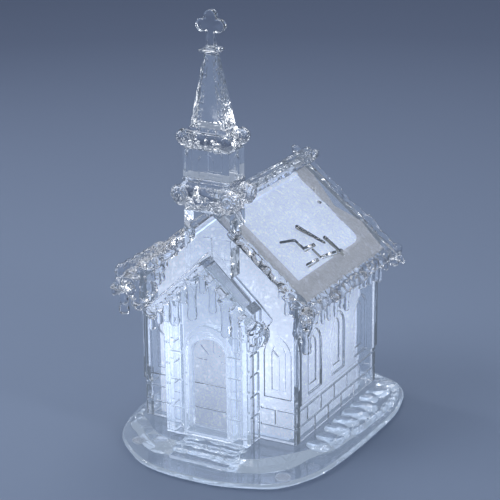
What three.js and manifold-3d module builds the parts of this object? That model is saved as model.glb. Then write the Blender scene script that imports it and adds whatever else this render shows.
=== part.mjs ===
// Acrylic church ornament, lit from inside by a battery module in its base.
// Millimetres, +Z up. The front faces -Y, and z = 0 is the ground that the walls stand on
// until the last lines put the origin under the middle of the whole ornament.
import * as THREE from 'three';
import * as BufferGeometryUtils from 'three/addons/utils/BufferGeometryUtils.js';
import Module from 'manifold-3d';

const wasm = await Module();
wasm.setup();

// Clear moulded shell
const BODY_WIDTH = 72;
const BODY_LENGTH = 76;
const WALL = 3;
const EAVE_LINE = 68.4;
const ROOF_PITCH = THREE.MathUtils.degToRad(39.4);
const ROOF_THICKNESS = 3;
const EAVE_OVERHANG = 8.5;
const FRONT_OVERHANG = 6;
const REAR_OVERHANG = 3;
const EAVE_BEAD_RADIUS = 2.1;
const FRONT_BEAD_RADIUS = 1.7;
const REAR_BEAD_RADIUS = 2.3;
const RIDGE_BEAD_RADIUS = 2.2;
const JOINT_GAP = 0.3;

// Stone courses and quoins at the foot of the walls
const COURSE_HEIGHT = 7.1;
const COURSE_COUNT = 2;
const STONE_LENGTH = 12.4;
const COURSE_GROOVE = 0.9;
const COURSE_DEPTH = 0.9;
const PLINTH_HEIGHT = 16.8;
const PLINTH_STEP = 0.8;

// Lancet windows, stepped into the clear wall
const WINDOW_WIDTH = 12.2;
const WINDOW_SILL = 19.2;
const WINDOW_SPRING = 37.5;
const WINDOW_RISE = 8.8;
const WINDOW_DEPTH = 1.1;
const PANE_MARGIN = 3;
const PANE_DEPTH = 0.7;
const SIDE_WINDOW_PITCH = 21.7;
const SIDE_WINDOW_COUNT = 3;
const SIDE_WINDOW_FIRST = 15.5;
const FRONT_WINDOW_OFFSET = 26.6;
const REAR_WINDOW_SHARE = 0.6;
const TRACERY_WIDTH = 0.7;

// Porch with its arched doorway
const PORCH_HALF_WIDTH = 18.7;
const PORCH_DEPTH = 11.2;
const PORCH_WALL = 3;
const PORCH_ROOF_HALF_WIDTH = 24;
const PORCH_ROOF_APEX = 78;
const PORCH_ROOF_EAVE = 55.3;
const PORCH_ROOF_THICKNESS = 3;
const PORCH_ROOF_OVERHANG = 2.5;
const DOORWAY_HALF_WIDTH = 9.4;
const DOORWAY_SILL = 2.6;
const DOORWAY_SPRING = 37.4;
const JAMB_THICKNESS = 2;
const DOOR_SPRING = 33.7;
const DOOR_THICKNESS = 1.8;
const DOOR_BOARD_HEIGHT = 10.9;
const DOOR_GROOVE = 0.7;
const FAN_DROP = 1.5;
const LEFT_QUOIN_HEIGHT = 12.3;
const LEFT_QUOIN_COUNT = 4;
const RIGHT_QUOIN_FOOT = 3;
const RIGHT_QUOIN_HEIGHT = 9;
const RIGHT_QUOIN_COUNT = 5;
const QUOIN_PROUD = 0.9;
const QUOIN_ROUNDING = 2;
const QUOIN_INSET = 0.8;
const QUOIN_CORNER = 2.6;

// Steeple
const STEEPLE_AXIS_Y = -1.6;
const TOWER_HALF_WIDTH = 10.3;
const TOWER_HALF_DEPTH = 6.2;
const TOWER_BELOW_RIDGE = 1.8;
const TOWER_STONE_DROP = 9.9;
const TOWER_STONE_HEIGHT = 8;
const TOWER_STONE_WIDTH = 8.1;
const TOWER_JOINT = 0.6;
const LOWER_COLLAR_HEIGHT = 13.3;
const LOWER_COLLAR_REACH = 2.1;
const LOWER_BULB_RADIUS = 3.8;
const COLLAR_ARCH_HALF_WIDTH = 3.8;
const COLLAR_ARCH_DEPTH = 1.1;
const BELFRY_HALF_WIDTH = 10.3;
const BELFRY_HALF_DEPTH = 6.2;
const BELFRY_HEIGHT = 11.4;
const BELFRY_WINDOW_WIDTH = 6.6;
const BELFRY_WINDOW_DEPTH = 0.8;
const UPPER_COLLAR_HEIGHT = 8.3;
const UPPER_COLLAR_REACH = 0.6;
const UPPER_BULB_RADIUS = 2.7;
const SPIRE_BASE_HALF_WIDTH = 7.5;
const SPIRE_BASE_HALF_DEPTH = 6;
const SPIRE_TOP_HALF_WIDTH = 2.8;
const SPIRE_HEIGHT = 28.4;
const SPIRE_CHAMFER = 1.5;
const RING_HALF_WIDTH = 3.8;
const RING_HALF_DEPTH = 3.8;
const RING_HEIGHT = 2.3;
const CROSS_WIDTH = 12.4;
const CROSS_HEIGHT = 14.3;
const CROSS_BAR = 3.6;
const CROSS_DEPTH = 3;
const CROSS_BUD_RADIUS = 2.6;

// Ice plate, raised ground and steps
const PLATE_THICKNESS = 2.2;
const GROUND_HEIGHT = 2.6;
const PLATE_RIM_RADIUS = 0.9;
const RIM_LEFT = 10.5;
const RIM_RIGHT = 18.7;
const RIM_FRONT = 38.2;
const RIM_REAR = 13;
const RIM_STEPS = 64;
const GROUND_RIPPLE = 0.9;
const GROUND_RIPPLES = 13;
const STEP_COUNT = 3;
const STEP_TREAD = 5.1;
const STEP_RISE = 1.3;
const STEP_LEFT = 8;
const STEP_RIGHT = 18.2;
const PAD_RADIUS = 3.2;
const PAD_HEIGHT = 0.8;

// Glittered diffuser sheets that line the shell
const SHEET = 1;
const SHEET_CASE_GAP = 2.5;
const SHEET_SIDE_INSET = 5;
const SHEET_ROOF_GAP = 0.5;
const SHEET_RIDGE_GAP = 5;
const SHEET_EAVE_GAP = 0.9;
const SHEET_PORCH_GAP = 0.8;

// Battery and lamp module
const CELL_RADIUS = 5.25;
const CELL_LENGTH = 44.5;
const CELL_COUNT = 3;
const CELL_GAP = 0.4;
const NUB_RADIUS = 1.9;
const NUB_LENGTH = 0.9;
const SPRING_RADIUS = 2.9;
const SPRING_TURNS = 3;
const SPRING_WIRE = 0.3;
const SPRING_STEPS = 7;
const SPRING_LENGTH = 3.6;
const CONTACT_THICKNESS = 0.3;
const CASE_WALL = 1.5;
const CASE_FRONT = 8.5;
const SWITCH_BAY = 6.2;
const FLANGE_THICKNESS = 3;
const FLANGE_EDGE = 3;
const FLANGE_FRONT = 2.5;
const FLANGE_REAR = 9;
const DOOR_TRAVEL = 6;
const BAY_LID_THICKNESS = 1.6;
const BAY_LID_LAP = 0.6;
const RAIL_LIP = 0.9;
const RAIL_DEPTH = 1.2;
const TAB_LENGTH = 4.8;
const TAB_COUNT = 4;
const SCREW_HEAD_RADIUS = 1.8;
const SCREW_HEAD_HEIGHT = 1.2;
const SCREW_RADIUS = 0.95;
const SCREW_CLEARANCE = 0.2;
const SCREW_LENGTH = 6.4;
const SCREW_BOSS_RADIUS = 2;
const SCREW_BOSS_HEIGHT = 5.5;
const SWITCH_TRAVEL = 2;
const SWITCH_LENGTH = 9;
const SWITCH_WIDTH = 4.4;
const SWITCH_HEIGHT = 4;
const KNOB_LENGTH = 3;
const KNOB_WIDTH = 2;
const TRAY_THICKNESS = 1.4;
const TRAY_CLEARANCE = 0.6;
const BOARD_SIZE = 30;
const BOARD_THICKNESS = 1.2;
const LED_RADIUS = 2.5;
const LED_HEIGHT = 7.2;
const LED_SPACING = 20;

// Places that follow from the sizes above
const halfWidth = BODY_WIDTH / 2;
const slope = Math.tan(ROOF_PITCH);
const ridgeHeight = EAVE_LINE + slope * halfWidth;
const roofDrop = ROOF_THICKNESS / Math.cos(ROOF_PITCH);
const ridgeUnder = ridgeHeight - roofDrop;
const slopeLength = (halfWidth + EAVE_OVERHANG) / Math.cos(ROOF_PITCH);
const porchSlope = (PORCH_ROOF_APEX - PORCH_ROOF_EAVE) / PORCH_ROOF_HALF_WIDTH;
const porchDrop = PORCH_ROOF_THICKNESS * Math.hypot(1, porchSlope);
const baseUnder = -GROUND_HEIGHT - PLATE_THICKNESS;
const groundBottom = -GROUND_HEIGHT;
const wallFoot = JOINT_GAP;
const doorFace = PORCH_DEPTH - SHEET_PORCH_GAP - SHEET - JOINT_GAP - DOOR_THICKNESS;
const towerFoot = PORCH_ROOF_EAVE;
const towerTop = ridgeHeight - TOWER_BELOW_RIDGE;
const lowerCollarFoot = towerTop + JOINT_GAP;
const belfryFoot = lowerCollarFoot + LOWER_COLLAR_HEIGHT + JOINT_GAP;
const upperCollarFoot = belfryFoot + BELFRY_HEIGHT + JOINT_GAP;
const spireFoot = upperCollarFoot + UPPER_COLLAR_HEIGHT + JOINT_GAP;
const ringFoot = spireFoot + SPIRE_HEIGHT + JOINT_GAP;
const crossFoot = ringFoot + RING_HEIGHT + JOINT_GAP;
const cellPitch = 2 * CELL_RADIUS + CELL_GAP;
const bayWidth = CELL_COUNT * cellPitch + CELL_GAP;
const bayLength = CELL_LENGTH + SPRING_LENGTH + 2 * CONTACT_THICKNESS + 4 * JOINT_GAP;
const caseWidth = bayWidth + SWITCH_BAY + 3 * CASE_WALL;
const caseLength = bayLength + 2 * CASE_WALL;
const bayLeft = -caseWidth / 2 + CASE_WALL;
const bayMiddle = bayLeft + bayWidth / 2;
const sheetFront = CASE_FRONT - SHEET_CASE_GAP;
const sheetRear = CASE_FRONT + caseLength + SHEET_CASE_GAP;
const sheetSide = halfWidth - SHEET_SIDE_INSET;

// The same for the battery and lamp module, from its case's front and the plate's underside
const bayFront = CASE_WALL;
const bayRear = bayFront + bayLength;
const screwReach = (caseWidth / 2 + sheetSide - SHEET) / 2;
const flangeTop = FLANGE_THICKNESS;
const flangeHalfWidth = screwReach + FLANGE_EDGE;
const flangeFront = -FLANGE_FRONT;
const flangeRear = caseLength + FLANGE_REAR;
const lidUnder = 0.1;
const railTop = RAIL_LIP + RAIL_DEPTH;
const cellFloor = railTop + JOINT_GAP;
const cellHeight = cellFloor + CELL_RADIUS;
const caseTop = cellFloor + 2 * CELL_RADIUS + JOINT_GAP + CASE_WALL;
const trayUnder = caseTop + JOINT_GAP;
const boardUnder = trayUnder + TRAY_THICKNESS + JOINT_GAP;
const ledFoot = boardUnder + BOARD_THICKNESS + JOINT_GAP;
const lampMiddle = caseLength / 2;

// Colours and finishes
const clearAcrylic = new THREE.MeshStandardMaterial({
  color: 0xdfe7f2, roughness: 0.05, metalness: 0, transparent: true, opacity: 0.45,
});
const glitterWhite = new THREE.MeshStandardMaterial({ color: 0xeef2fb, roughness: 0.6 });
const whitePlastic = new THREE.MeshStandardMaterial({ color: 0xf2f2ee, roughness: 0.5 });
const darkPlastic = new THREE.MeshStandardMaterial({ color: 0x2a2b2e, roughness: 0.5 });
const nickel = new THREE.MeshStandardMaterial({ color: 0xc9c8c2, roughness: 0.3, metalness: 1 });
const cellJacket = new THREE.MeshStandardMaterial({ color: 0x6f7b86, roughness: 0.35 });
const boardWhite = new THREE.MeshStandardMaterial({ color: 0xf0f0ea, roughness: 0.55 });
const ledLens = new THREE.MeshStandardMaterial({ color: 0xfdf9ea, roughness: 0.15 });
const clearRubber = new THREE.MeshStandardMaterial({ color: 0xdadde0, roughness: 0.4 });

// Geometry helpers

function solidOf(geometry) {
  const bare = geometry.clone();
  bare.deleteAttribute('normal');
  bare.deleteAttribute('uv');
  const merged = BufferGeometryUtils.mergeVertices(bare, 1e-4);
  const corners = merged.index.array;
  const kept = [];
  for (let i = 0; i < corners.length; i += 3) {
    const [a, b, c] = [corners[i], corners[i + 1], corners[i + 2]];
    if (a !== b && b !== c && c !== a) kept.push(a, b, c);
  }
  return new wasm.Manifold(new wasm.Mesh({
    numProp: 3,
    vertProperties: new Float32Array(merged.attributes.position.array),
    triVerts: new Uint32Array(kept),
  }));
}

function geometryOf(solid) {
  const { vertProperties, triVerts } = solid.getMesh();
  const geometry = new THREE.BufferGeometry();
  geometry.setAttribute('position', new THREE.BufferAttribute(vertProperties, 3));
  geometry.setIndex(new THREE.BufferAttribute(triVerts, 1));
  geometry.computeVertexNormals();
  return geometry;
}

function addGroup(parent, x, y, z) {
  const group = new THREE.Group();
  group.position.set(x, y, z);
  parent.add(group);
  return group;
}

const church = new THREE.Group();
const shell = addGroup(church, 0, 0, 0);
const porch = addGroup(shell, 0, -PORCH_DEPTH, 0);
const steeple = addGroup(shell, 0, STEEPLE_AXIS_Y, 0);
const lining = addGroup(church, 0, sheetFront, 0);
const lampModule = addGroup(church, 0, CASE_FRONT, baseUnder);

// A named piece in its group, modelled about its own origin and placed there
function addPiece(group, name, solid, material, x = 0, y = 0, z = 0) {
  const piece = new THREE.Mesh(geometryOf(solid), material.clone());
  piece.name = name;
  piece.position.set(x, y, z);
  group.add(piece);
  return piece;
}

function join(first, ...others) {
  return others.reduce((whole, other) => whole.add(other), first);
}

function cut(first, ...others) {
  return others.reduce((whole, other) => whole.subtract(other), first);
}

function block(x0, x1, y0, y1, z0, z1) {
  const geometry = new THREE.BoxGeometry(x1 - x0, y1 - y0, z1 - z0);
  return solidOf(geometry.translate((x0 + x1) / 2, (y0 + y1) / 2, (z0 + z1) / 2));
}

function outline(points) {
  return new THREE.Shape(points.map(([u, v]) => new THREE.Vector2(u, v)));
}

function extrude(shape, depth, curveSegments = 8) {
  return new THREE.ExtrudeGeometry(shape, { depth, bevelEnabled: false, curveSegments });
}

// A shape drawn in X and Z, as seen from the front, pushed from y0 to y1
function prismAlongY(shape, y0, y1, curveSegments) {
  const geometry = extrude(shape, y1 - y0, curveSegments);
  return solidOf(geometry.rotateX(Math.PI / 2).translate(0, y1, 0));
}

// A shape drawn in Y and Z, pushed from x0 to x1
function prismAlongX(shape, x0, x1, curveSegments) {
  const turn = new THREE.Matrix4().makeBasis(
    new THREE.Vector3(0, 1, 0), new THREE.Vector3(0, 0, 1), new THREE.Vector3(1, 0, 0));
  const geometry = extrude(shape, x1 - x0, curveSegments);
  return solidOf(geometry.applyMatrix4(turn).translate(x0, 0, 0));
}

// A profile of [radius, height] pairs turned about a standing axis at x, y
function turned(profile, x, y, segments) {
  const points = profile.map(([radius, height]) => new THREE.Vector2(radius, height));
  return new THREE.LatheGeometry(points, segments).rotateX(Math.PI / 2).translate(x, y, 0);
}

// A profile of [half width, height] pairs on a rectangular plan, its depth widthwise times ratio
function stepped(profile, x, y, ratio) {
  const corners = profile.map(([half, height]) => [half * Math.SQRT2, height]);
  const geometry = turned(corners, 0, 0, 4).rotateZ(Math.PI / 4).scale(1, ratio, 1);
  return solidOf(geometry.translate(x, y, 0));
}

function rod(radius, x, y, z0, z1, segments = 16) {
  return solidOf(turned([[0, z0], [radius, z0], [radius, z1], [0, z1]], x, y, segments));
}

function rodAlong(start, end, radius, segments = 8) {
  const way = new THREE.Vector3().subVectors(end, start);
  const geometry = new THREE.CylinderGeometry(radius, radius, way.length(), segments);
  const turn = new THREE.Quaternion().setFromUnitVectors(
    new THREE.Vector3(0, 1, 0), way.clone().normalize());
  geometry.applyQuaternion(turn);
  const middle = start.clone().add(end).multiplyScalar(0.5);
  return solidOf(geometry.translate(middle.x, middle.y, middle.z));
}

// A rod of uneven thickness, as ice that has run along an edge
function icedRod(start, end, radius, lumps, seed) {
  const way = new THREE.Vector3().subVectors(end, start);
  const points = [new THREE.Vector2(0, 0)];
  for (let i = 0; i <= lumps; i += 1) {
    points.push(new THREE.Vector2(radius * (0.72 + 0.5 * uneven(i, seed)), way.length() * (i / lumps)));
  }
  points.push(new THREE.Vector2(0, way.length()));
  const turn = new THREE.Quaternion().setFromUnitVectors(
    new THREE.Vector3(0, 1, 0), way.clone().normalize());
  const geometry = new THREE.LatheGeometry(points, 6).applyQuaternion(turn);
  return solidOf(geometry.translate(start.x, start.y, start.z));
}

function ball(radius, x, y, z) {
  return solidOf(new THREE.SphereGeometry(radius, 9, 6).rotateX(Math.PI / 2).translate(x, y, z));
}

function mirrored(solid) {
  const geometry = geometryOf(solid);
  geometry.scale(-1, 1, 1);
  const index = geometry.index.array;
  for (let i = 0; i < index.length; i += 3) [index[i], index[i + 1]] = [index[i + 1], index[i]];
  return solidOf(geometry);
}

// A solid of the church's frame as it is seen from a piece that stands at the given place
function seenFrom(x, y, z, solid) {
  return solidOf(geometryOf(solid).translate(-x, -y, -z));
}

// A steady spread of values from 0 to 1, so that the ice is uneven and the same each time
function uneven(step, seed) {
  const value = Math.sin(step * 12.9898 + seed * 78.233) * 43758.5453;
  return value - Math.floor(value);
}

// Ice

function icicle(x, y, top, length, radius) {
  const profile = [
    [0, top - length],
    [radius * 0.36, top - length * 0.62],
    [radius * 0.8, top - length * 0.12],
    [radius, top + radius * 0.4],
    [0, top + radius],
  ];
  return solidOf(turned(profile, x, y, 5));
}

// Icicles hung at even steps along a line, with uneven lengths
function icicleRow(start, end, count, shortest, longest, radius, seed) {
  const row = [];
  for (let i = 0; i < count; i += 1) {
    const place = start.clone().lerp(end, (i + 0.2 + 0.6 * uneven(i, seed)) / count);
    const length = shortest + (longest - shortest) * uneven(i, seed + 3);
    const girth = radius * (0.75 + 0.5 * uneven(i, seed + 5));
    row.push(icicle(place.x, place.y, place.z, length, girth));
  }
  return row;
}

// Windows and doorways

function lancet(middle, half, sill, spring, rise) {
  const radius = (rise * rise + half * half) / (2 * half);
  const turn = Math.acos((radius - half) / radius);
  const shape = new THREE.Shape();
  shape.moveTo(middle - half, sill);
  shape.lineTo(middle + half, sill);
  shape.absarc(middle + half - radius, spring, radius, 0, turn, false);
  shape.absarc(middle - half + radius, spring, radius, Math.PI - turn, Math.PI, false);
  return shape;
}

function outerLancet(middle) {
  return lancet(middle, WINDOW_WIDTH / 2, WINDOW_SILL, WINDOW_SPRING, WINDOW_RISE);
}

function innerLancet(middle) {
  const rise = WINDOW_RISE * (1 - PANE_MARGIN / (WINDOW_WIDTH / 2)) + 1;
  return lancet(middle, WINDOW_WIDTH / 2 - PANE_MARGIN, WINDOW_SILL + PANE_MARGIN,
    WINDOW_SPRING, rise);
}

function sideWindow(middle) {
  const frame = prismAlongX(outerLancet(middle), halfWidth - WINDOW_DEPTH, halfWidth + 1, 4);
  const paneBack = halfWidth - WINDOW_DEPTH - PANE_DEPTH;
  return [frame, prismAlongX(innerLancet(middle), paneBack, halfWidth, 3)];
}

function gableWindow(middle) {
  return [
    prismAlongY(outerLancet(middle), -1, WINDOW_DEPTH, 4),
    prismAlongY(innerLancet(middle), 0, WINDOW_DEPTH + PANE_DEPTH, 3),
  ];
}

// A mullion with a forked head that stands in the pane of a front window
function tracery(middle) {
  const back = WINDOW_DEPTH + PANE_DEPTH + 0.2;
  const fork = new THREE.Vector3(middle, (WINDOW_DEPTH + back) / 2, WINDOW_SPRING - 1);
  const reach = WINDOW_WIDTH / 2 - PANE_MARGIN;
  const foot = new THREE.Vector3(middle, fork.y, WINDOW_SILL + PANE_MARGIN - 0.3);
  const tips = [-1, 1].map((side) => new THREE.Vector3(middle + side * reach, fork.y, fork.z + reach));
  return join(
    rodAlong(foot, fork, TRACERY_WIDTH / 2, 6),
    ...tips.map((tip) => rodAlong(fork, tip, TRACERY_WIDTH / 2, 6)));
}

// Heights of the upper joint of each stone course
function courseLines() {
  return Array.from({ length: COURSE_COUNT }, (_, i) => (i + 1) * COURSE_HEIGHT);
}

// Grooves of the stone courses along one wall face: makeCut turns a span and heights into a tool
function courseGrooves(from, to, makeCut) {
  const tools = [];
  courseLines().forEach((height, course) => {
    tools.push(makeCut(from, to, height - COURSE_GROOVE / 2, height + COURSE_GROOVE / 2));
    const first = from + STONE_LENGTH * (course % 2 ? 0.55 : 1.1);
    for (let at = first; at < to - STONE_LENGTH * 0.4; at += STONE_LENGTH) {
      const foot = height - COURSE_HEIGHT + COURSE_GROOVE / 2;
      const half = COURSE_GROOVE / 2;
      tools.push(makeCut(at - half, at + half, foot, height - half));
    }
  });
  return tools;
}

// Walls

function roofUnderAt(x) {
  return ridgeUnder - slope * Math.abs(x) - JOINT_GAP;
}

function gableOutline(half, foot) {
  return outline([
    [-half, foot], [half, foot], [half, roofUnderAt(half)], [0, roofUnderAt(0)],
    [-half, roofUnderAt(half)],
  ]);
}

function plinthCuts() {
  const [inner, outer] = [halfWidth - PLINTH_STEP, halfWidth + 1];
  return [
    block(inner, outer, -1, WALL + 1, -1, PLINTH_HEIGHT),
    block(-outer, -inner, -1, WALL + 1, -1, PLINTH_HEIGHT),
  ];
}

// A gable wall seen from outside, its outer face at y = 0
function gableWall(windows, courseSpans) {
  const grooveAt = (from, to, z0, z1) => block(from, to, -1, COURSE_DEPTH, z0, z1);
  return cut(
    prismAlongY(gableOutline(halfWidth, wallFoot), 0, WALL),
    ...plinthCuts(),
    ...windows.flatMap((middle) => gableWindow(middle)),
    ...courseSpans.flatMap(([from, to]) => courseGrooves(from, to, grooveAt)));
}

function frontWall() {
  const porchEdge = PORCH_HALF_WIDTH + JOINT_GAP;
  const edge = halfWidth - PLINTH_STEP;
  const windows = [-FRONT_WINDOW_OFFSET, FRONT_WINDOW_OFFSET];
  const wall = gableWall(windows, [[porchEdge, edge], [-edge, -porchEdge]]);
  addPiece(shell, 'front_wall', join(wall, ...windows.map((middle) => tracery(middle))),
    clearAcrylic);
}

// The rear gable faces the other way, so it is turned half round
function rearWall() {
  const edge = halfWidth - PLINTH_STEP;
  const offset = FRONT_WINDOW_OFFSET * REAR_WINDOW_SHARE;
  const wall = gableWall([-offset, offset], [[-edge, edge]]);
  const piece = addPiece(shell, 'rear_wall', wall, clearAcrylic, 0, BODY_LENGTH, 0);
  piece.rotation.z = Math.PI;
}

function sideWall() {
  const inner = halfWidth - WALL;
  const section = outline([
    [inner, wallFoot],
    [halfWidth - PLINTH_STEP, wallFoot],
    [halfWidth - PLINTH_STEP, PLINTH_HEIGHT],
    [halfWidth, PLINTH_HEIGHT],
    [halfWidth, roofUnderAt(halfWidth)],
    [inner, roofUnderAt(inner)],
  ]);
  const [front, rear] = [WALL + JOINT_GAP, BODY_LENGTH - WALL - JOINT_GAP];
  const face = halfWidth - PLINTH_STEP;
  const grooveAt = (from, to, z0, z1) => block(face - COURSE_DEPTH, face + 1, from, to, z0, z1);
  const windows = [];
  for (let i = 0; i < SIDE_WINDOW_COUNT; i += 1) {
    windows.push(...sideWindow(SIDE_WINDOW_FIRST + i * SIDE_WINDOW_PITCH));
  }
  return cut(prismAlongY(section, front, rear), ...windows,
    ...courseGrooves(front, rear, grooveAt));
}

// Main roof: each slope is a slab with iced edges

function slopePoint(down, y, out) {
  return new THREE.Vector3(
    down * Math.cos(ROOF_PITCH) + out * Math.sin(ROOF_PITCH),
    y,
    ridgeHeight - down * Math.sin(ROOF_PITCH) + out * Math.cos(ROOF_PITCH));
}

function slopeSlab(downFrom, downTo, y0, y1, outFrom, outTo) {
  const turn = new THREE.Matrix4().makeBasis(
    slopePoint(1, 0, 0).sub(slopePoint(0, 0, 0)),
    new THREE.Vector3(0, 1, 0),
    slopePoint(0, 0, 1).sub(slopePoint(0, 0, 0)));
  const geometry = new THREE.BoxGeometry(downTo - downFrom, y1 - y0, outTo - outFrom);
  geometry.translate((downFrom + downTo) / 2, (y0 + y1) / 2, (outFrom + outTo) / 2);
  return solidOf(geometry.applyMatrix4(turn).translate(0, 0, ridgeHeight));
}

function roofSlope(seed, frontIce) {
  const [front, rear] = [-FRONT_OVERHANG, BODY_LENGTH + REAR_OVERHANG];
  const middle = -ROOF_THICKNESS / 2;
  const eave = [slopePoint(slopeLength, front, middle), slopePoint(slopeLength, rear, middle)];
  const top = [slopePoint(0, front, middle), slopePoint(2, rear, middle)];
  const under = new THREE.Vector3(0, 0, -EAVE_BEAD_RADIUS * 0.4);
  const eaveRow = [eave[0].clone().add(under), eave[1].clone().add(under)];
  const rakeRow = [top[0].clone().lerp(eave[0], 0.36), top[0].clone().lerp(eave[0], 0.95)];
  const rearRow = [top[1].clone().lerp(eave[1], 0.15), top[1].clone().lerp(eave[1], 0.95)];
  const whole = join(
    slopeSlab(-ROOF_THICKNESS, slopeLength, front, rear, -ROOF_THICKNESS, 0),
    icedRod(eave[0], eave[1], EAVE_BEAD_RADIUS * 1.1, 8, seed + 31),
    icedRod(top[0], eave[0], FRONT_BEAD_RADIUS * 1.15, 8, seed + 37),
    icedRod(top[1], eave[1], REAR_BEAD_RADIUS * 1.1, 7, seed + 41),
    ball(REAR_BEAD_RADIUS * 1.3, eave[1].x, eave[1].y, eave[1].z),
    ball(EAVE_BEAD_RADIUS * 1.3, eave[0].x, eave[0].y, eave[0].z),
    ...icicleRow(eaveRow[0], eaveRow[1], 11, 3.5, 8.5, 1.5, seed),
    ...icicleRow(rakeRow[0], rakeRow[1], 6, 3, frontIce, 1.3, seed + 11),
    ...icicleRow(rearRow[0], rearRow[1], 5, 2.5, 4.5, 1.3, seed + 17),
    icicle(eave[0].x - 0.6, front - 0.2, eave[0].z, frontIce * 1.35, 1.9));
  return cut(whole,
    block(-BODY_WIDTH, JOINT_GAP / 2, front - 9, rear + 9, -1, 2 * ridgeHeight),
    block(-1, TOWER_HALF_WIDTH + JOINT_GAP, front - 9, JOINT_GAP, 0, 2 * ridgeHeight),
    ridgeBead(JOINT_GAP));
}

// Room that the ridge bead takes up, with a clearance around it
function ridgeBead(clearance) {
  const start = STEEPLE_AXIS_Y + TOWER_HALF_DEPTH + 2 * JOINT_GAP - clearance;
  const end = BODY_LENGTH + REAR_OVERHANG + REAR_BEAD_RADIUS + clearance;
  const height = ridgeHeight + RIDGE_BEAD_RADIUS * 0.15;
  return rodAlong(new THREE.Vector3(0, start, height), new THREE.Vector3(0, end, height),
    RIDGE_BEAD_RADIUS + clearance, 10);
}

// Space of the two slopes and a gap above them, to seat the tower on the roof
function roofSpace() {
  const half = halfWidth;
  const top = ridgeHeight + JOINT_GAP * 1.3;
  const shape = outline([
    [-half, top - slope * half], [-half, -1], [half, -1], [half, top - slope * half], [0, top],
  ]);
  return prismAlongY(shape, -JOINT_GAP, BODY_LENGTH);
}

// Porch

function porchUnderAt(x) {
  return PORCH_ROOF_APEX - porchDrop - porchSlope * Math.abs(x) - JOINT_GAP;
}

function porchGable(half, foot) {
  return outline([
    [-half, foot], [half, foot], [half, porchUnderAt(half)], [0, porchUnderAt(0)],
    [-half, porchUnderAt(half)],
  ]);
}

function doorwayShape(half, sill, spring) {
  const shape = new THREE.Shape();
  shape.moveTo(-half, sill);
  shape.lineTo(half, sill);
  shape.absarc(0, spring, half, 0, Math.PI, false);
  return shape;
}

// Stones with rounded feet, one above the other, that stand proud of the right pilaster
function quoinStones(foot, height, count) {
  const [inner, outer] = [DOORWAY_HALF_WIDTH + QUOIN_INSET, PORCH_HALF_WIDTH - QUOIN_CORNER];
  return Array.from({ length: count }, (_, i) => {
    const [low, high] = [foot + i * height + JOINT_GAP, foot + (i + 1) * height - JOINT_GAP];
    const shape = new THREE.Shape();
    shape.moveTo(inner, high);
    shape.lineTo(inner, low + QUOIN_ROUNDING);
    shape.quadraticCurveTo(inner, low, inner + QUOIN_ROUNDING, low);
    shape.lineTo(outer - QUOIN_ROUNDING, low);
    shape.quadraticCurveTo(outer, low, outer, low + QUOIN_ROUNDING);
    shape.lineTo(outer, high);
    return prismAlongY(shape, -QUOIN_PROUD, 0.5, 2);
  });
}

// The gable with its doorway and, behind it, a jamb that reaches back to the door
function porchFront() {
  const doorway = (half, sill, spring, y0, y1) => prismAlongY(
    doorwayShape(half, sill, spring), y0, y1, 8);
  const panel = cut(
    prismAlongY(porchGable(PORCH_HALF_WIDTH, wallFoot), 0, PORCH_WALL),
    doorway(DOORWAY_HALF_WIDTH, DOORWAY_SILL, DOORWAY_SPRING, -1, PORCH_WALL + 1));
  const jamb = cut(
    doorway(DOORWAY_HALF_WIDTH + JAMB_THICKNESS, DOORWAY_SILL - JAMB_THICKNESS, DOORWAY_SPRING,
      PORCH_WALL - 0.1, doorFace - JOINT_GAP),
    doorway(DOORWAY_HALF_WIDTH, DOORWAY_SILL, DOOR_SPRING, 0, PORCH_DEPTH));
  addPiece(porch, 'porch_front', join(panel, jamb,
    ...quoinStones(RIGHT_QUOIN_FOOT, RIGHT_QUOIN_HEIGHT, RIGHT_QUOIN_COUNT),
    ...quoinStones(wallFoot, LEFT_QUOIN_HEIGHT, LEFT_QUOIN_COUNT).map((stone) => mirrored(stone))),
  clearAcrylic);
}

function porchSide() {
  const inner = PORCH_HALF_WIDTH - PORCH_WALL;
  const [front, back] = [PORCH_WALL + JOINT_GAP, PORCH_DEPTH - JOINT_GAP];
  const wall = prismAlongY(outline([
    [inner, wallFoot], [PORCH_HALF_WIDTH, wallFoot],
    [PORCH_HALF_WIDTH, porchUnderAt(PORCH_HALF_WIDTH)], [inner, porchUnderAt(inner)],
  ]), front, back);
  const joints = [];
  for (let i = 1; i <= RIGHT_QUOIN_COUNT; i += 1) {
    const height = RIGHT_QUOIN_FOOT + i * RIGHT_QUOIN_HEIGHT;
    joints.push(block(PORCH_HALF_WIDTH - COURSE_DEPTH, PORCH_HALF_WIDTH + 1, front - 1, back + 1,
      height - COURSE_GROOVE / 2, height + COURSE_GROOVE / 2));
  }
  return cut(wall, ...joints);
}

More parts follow.
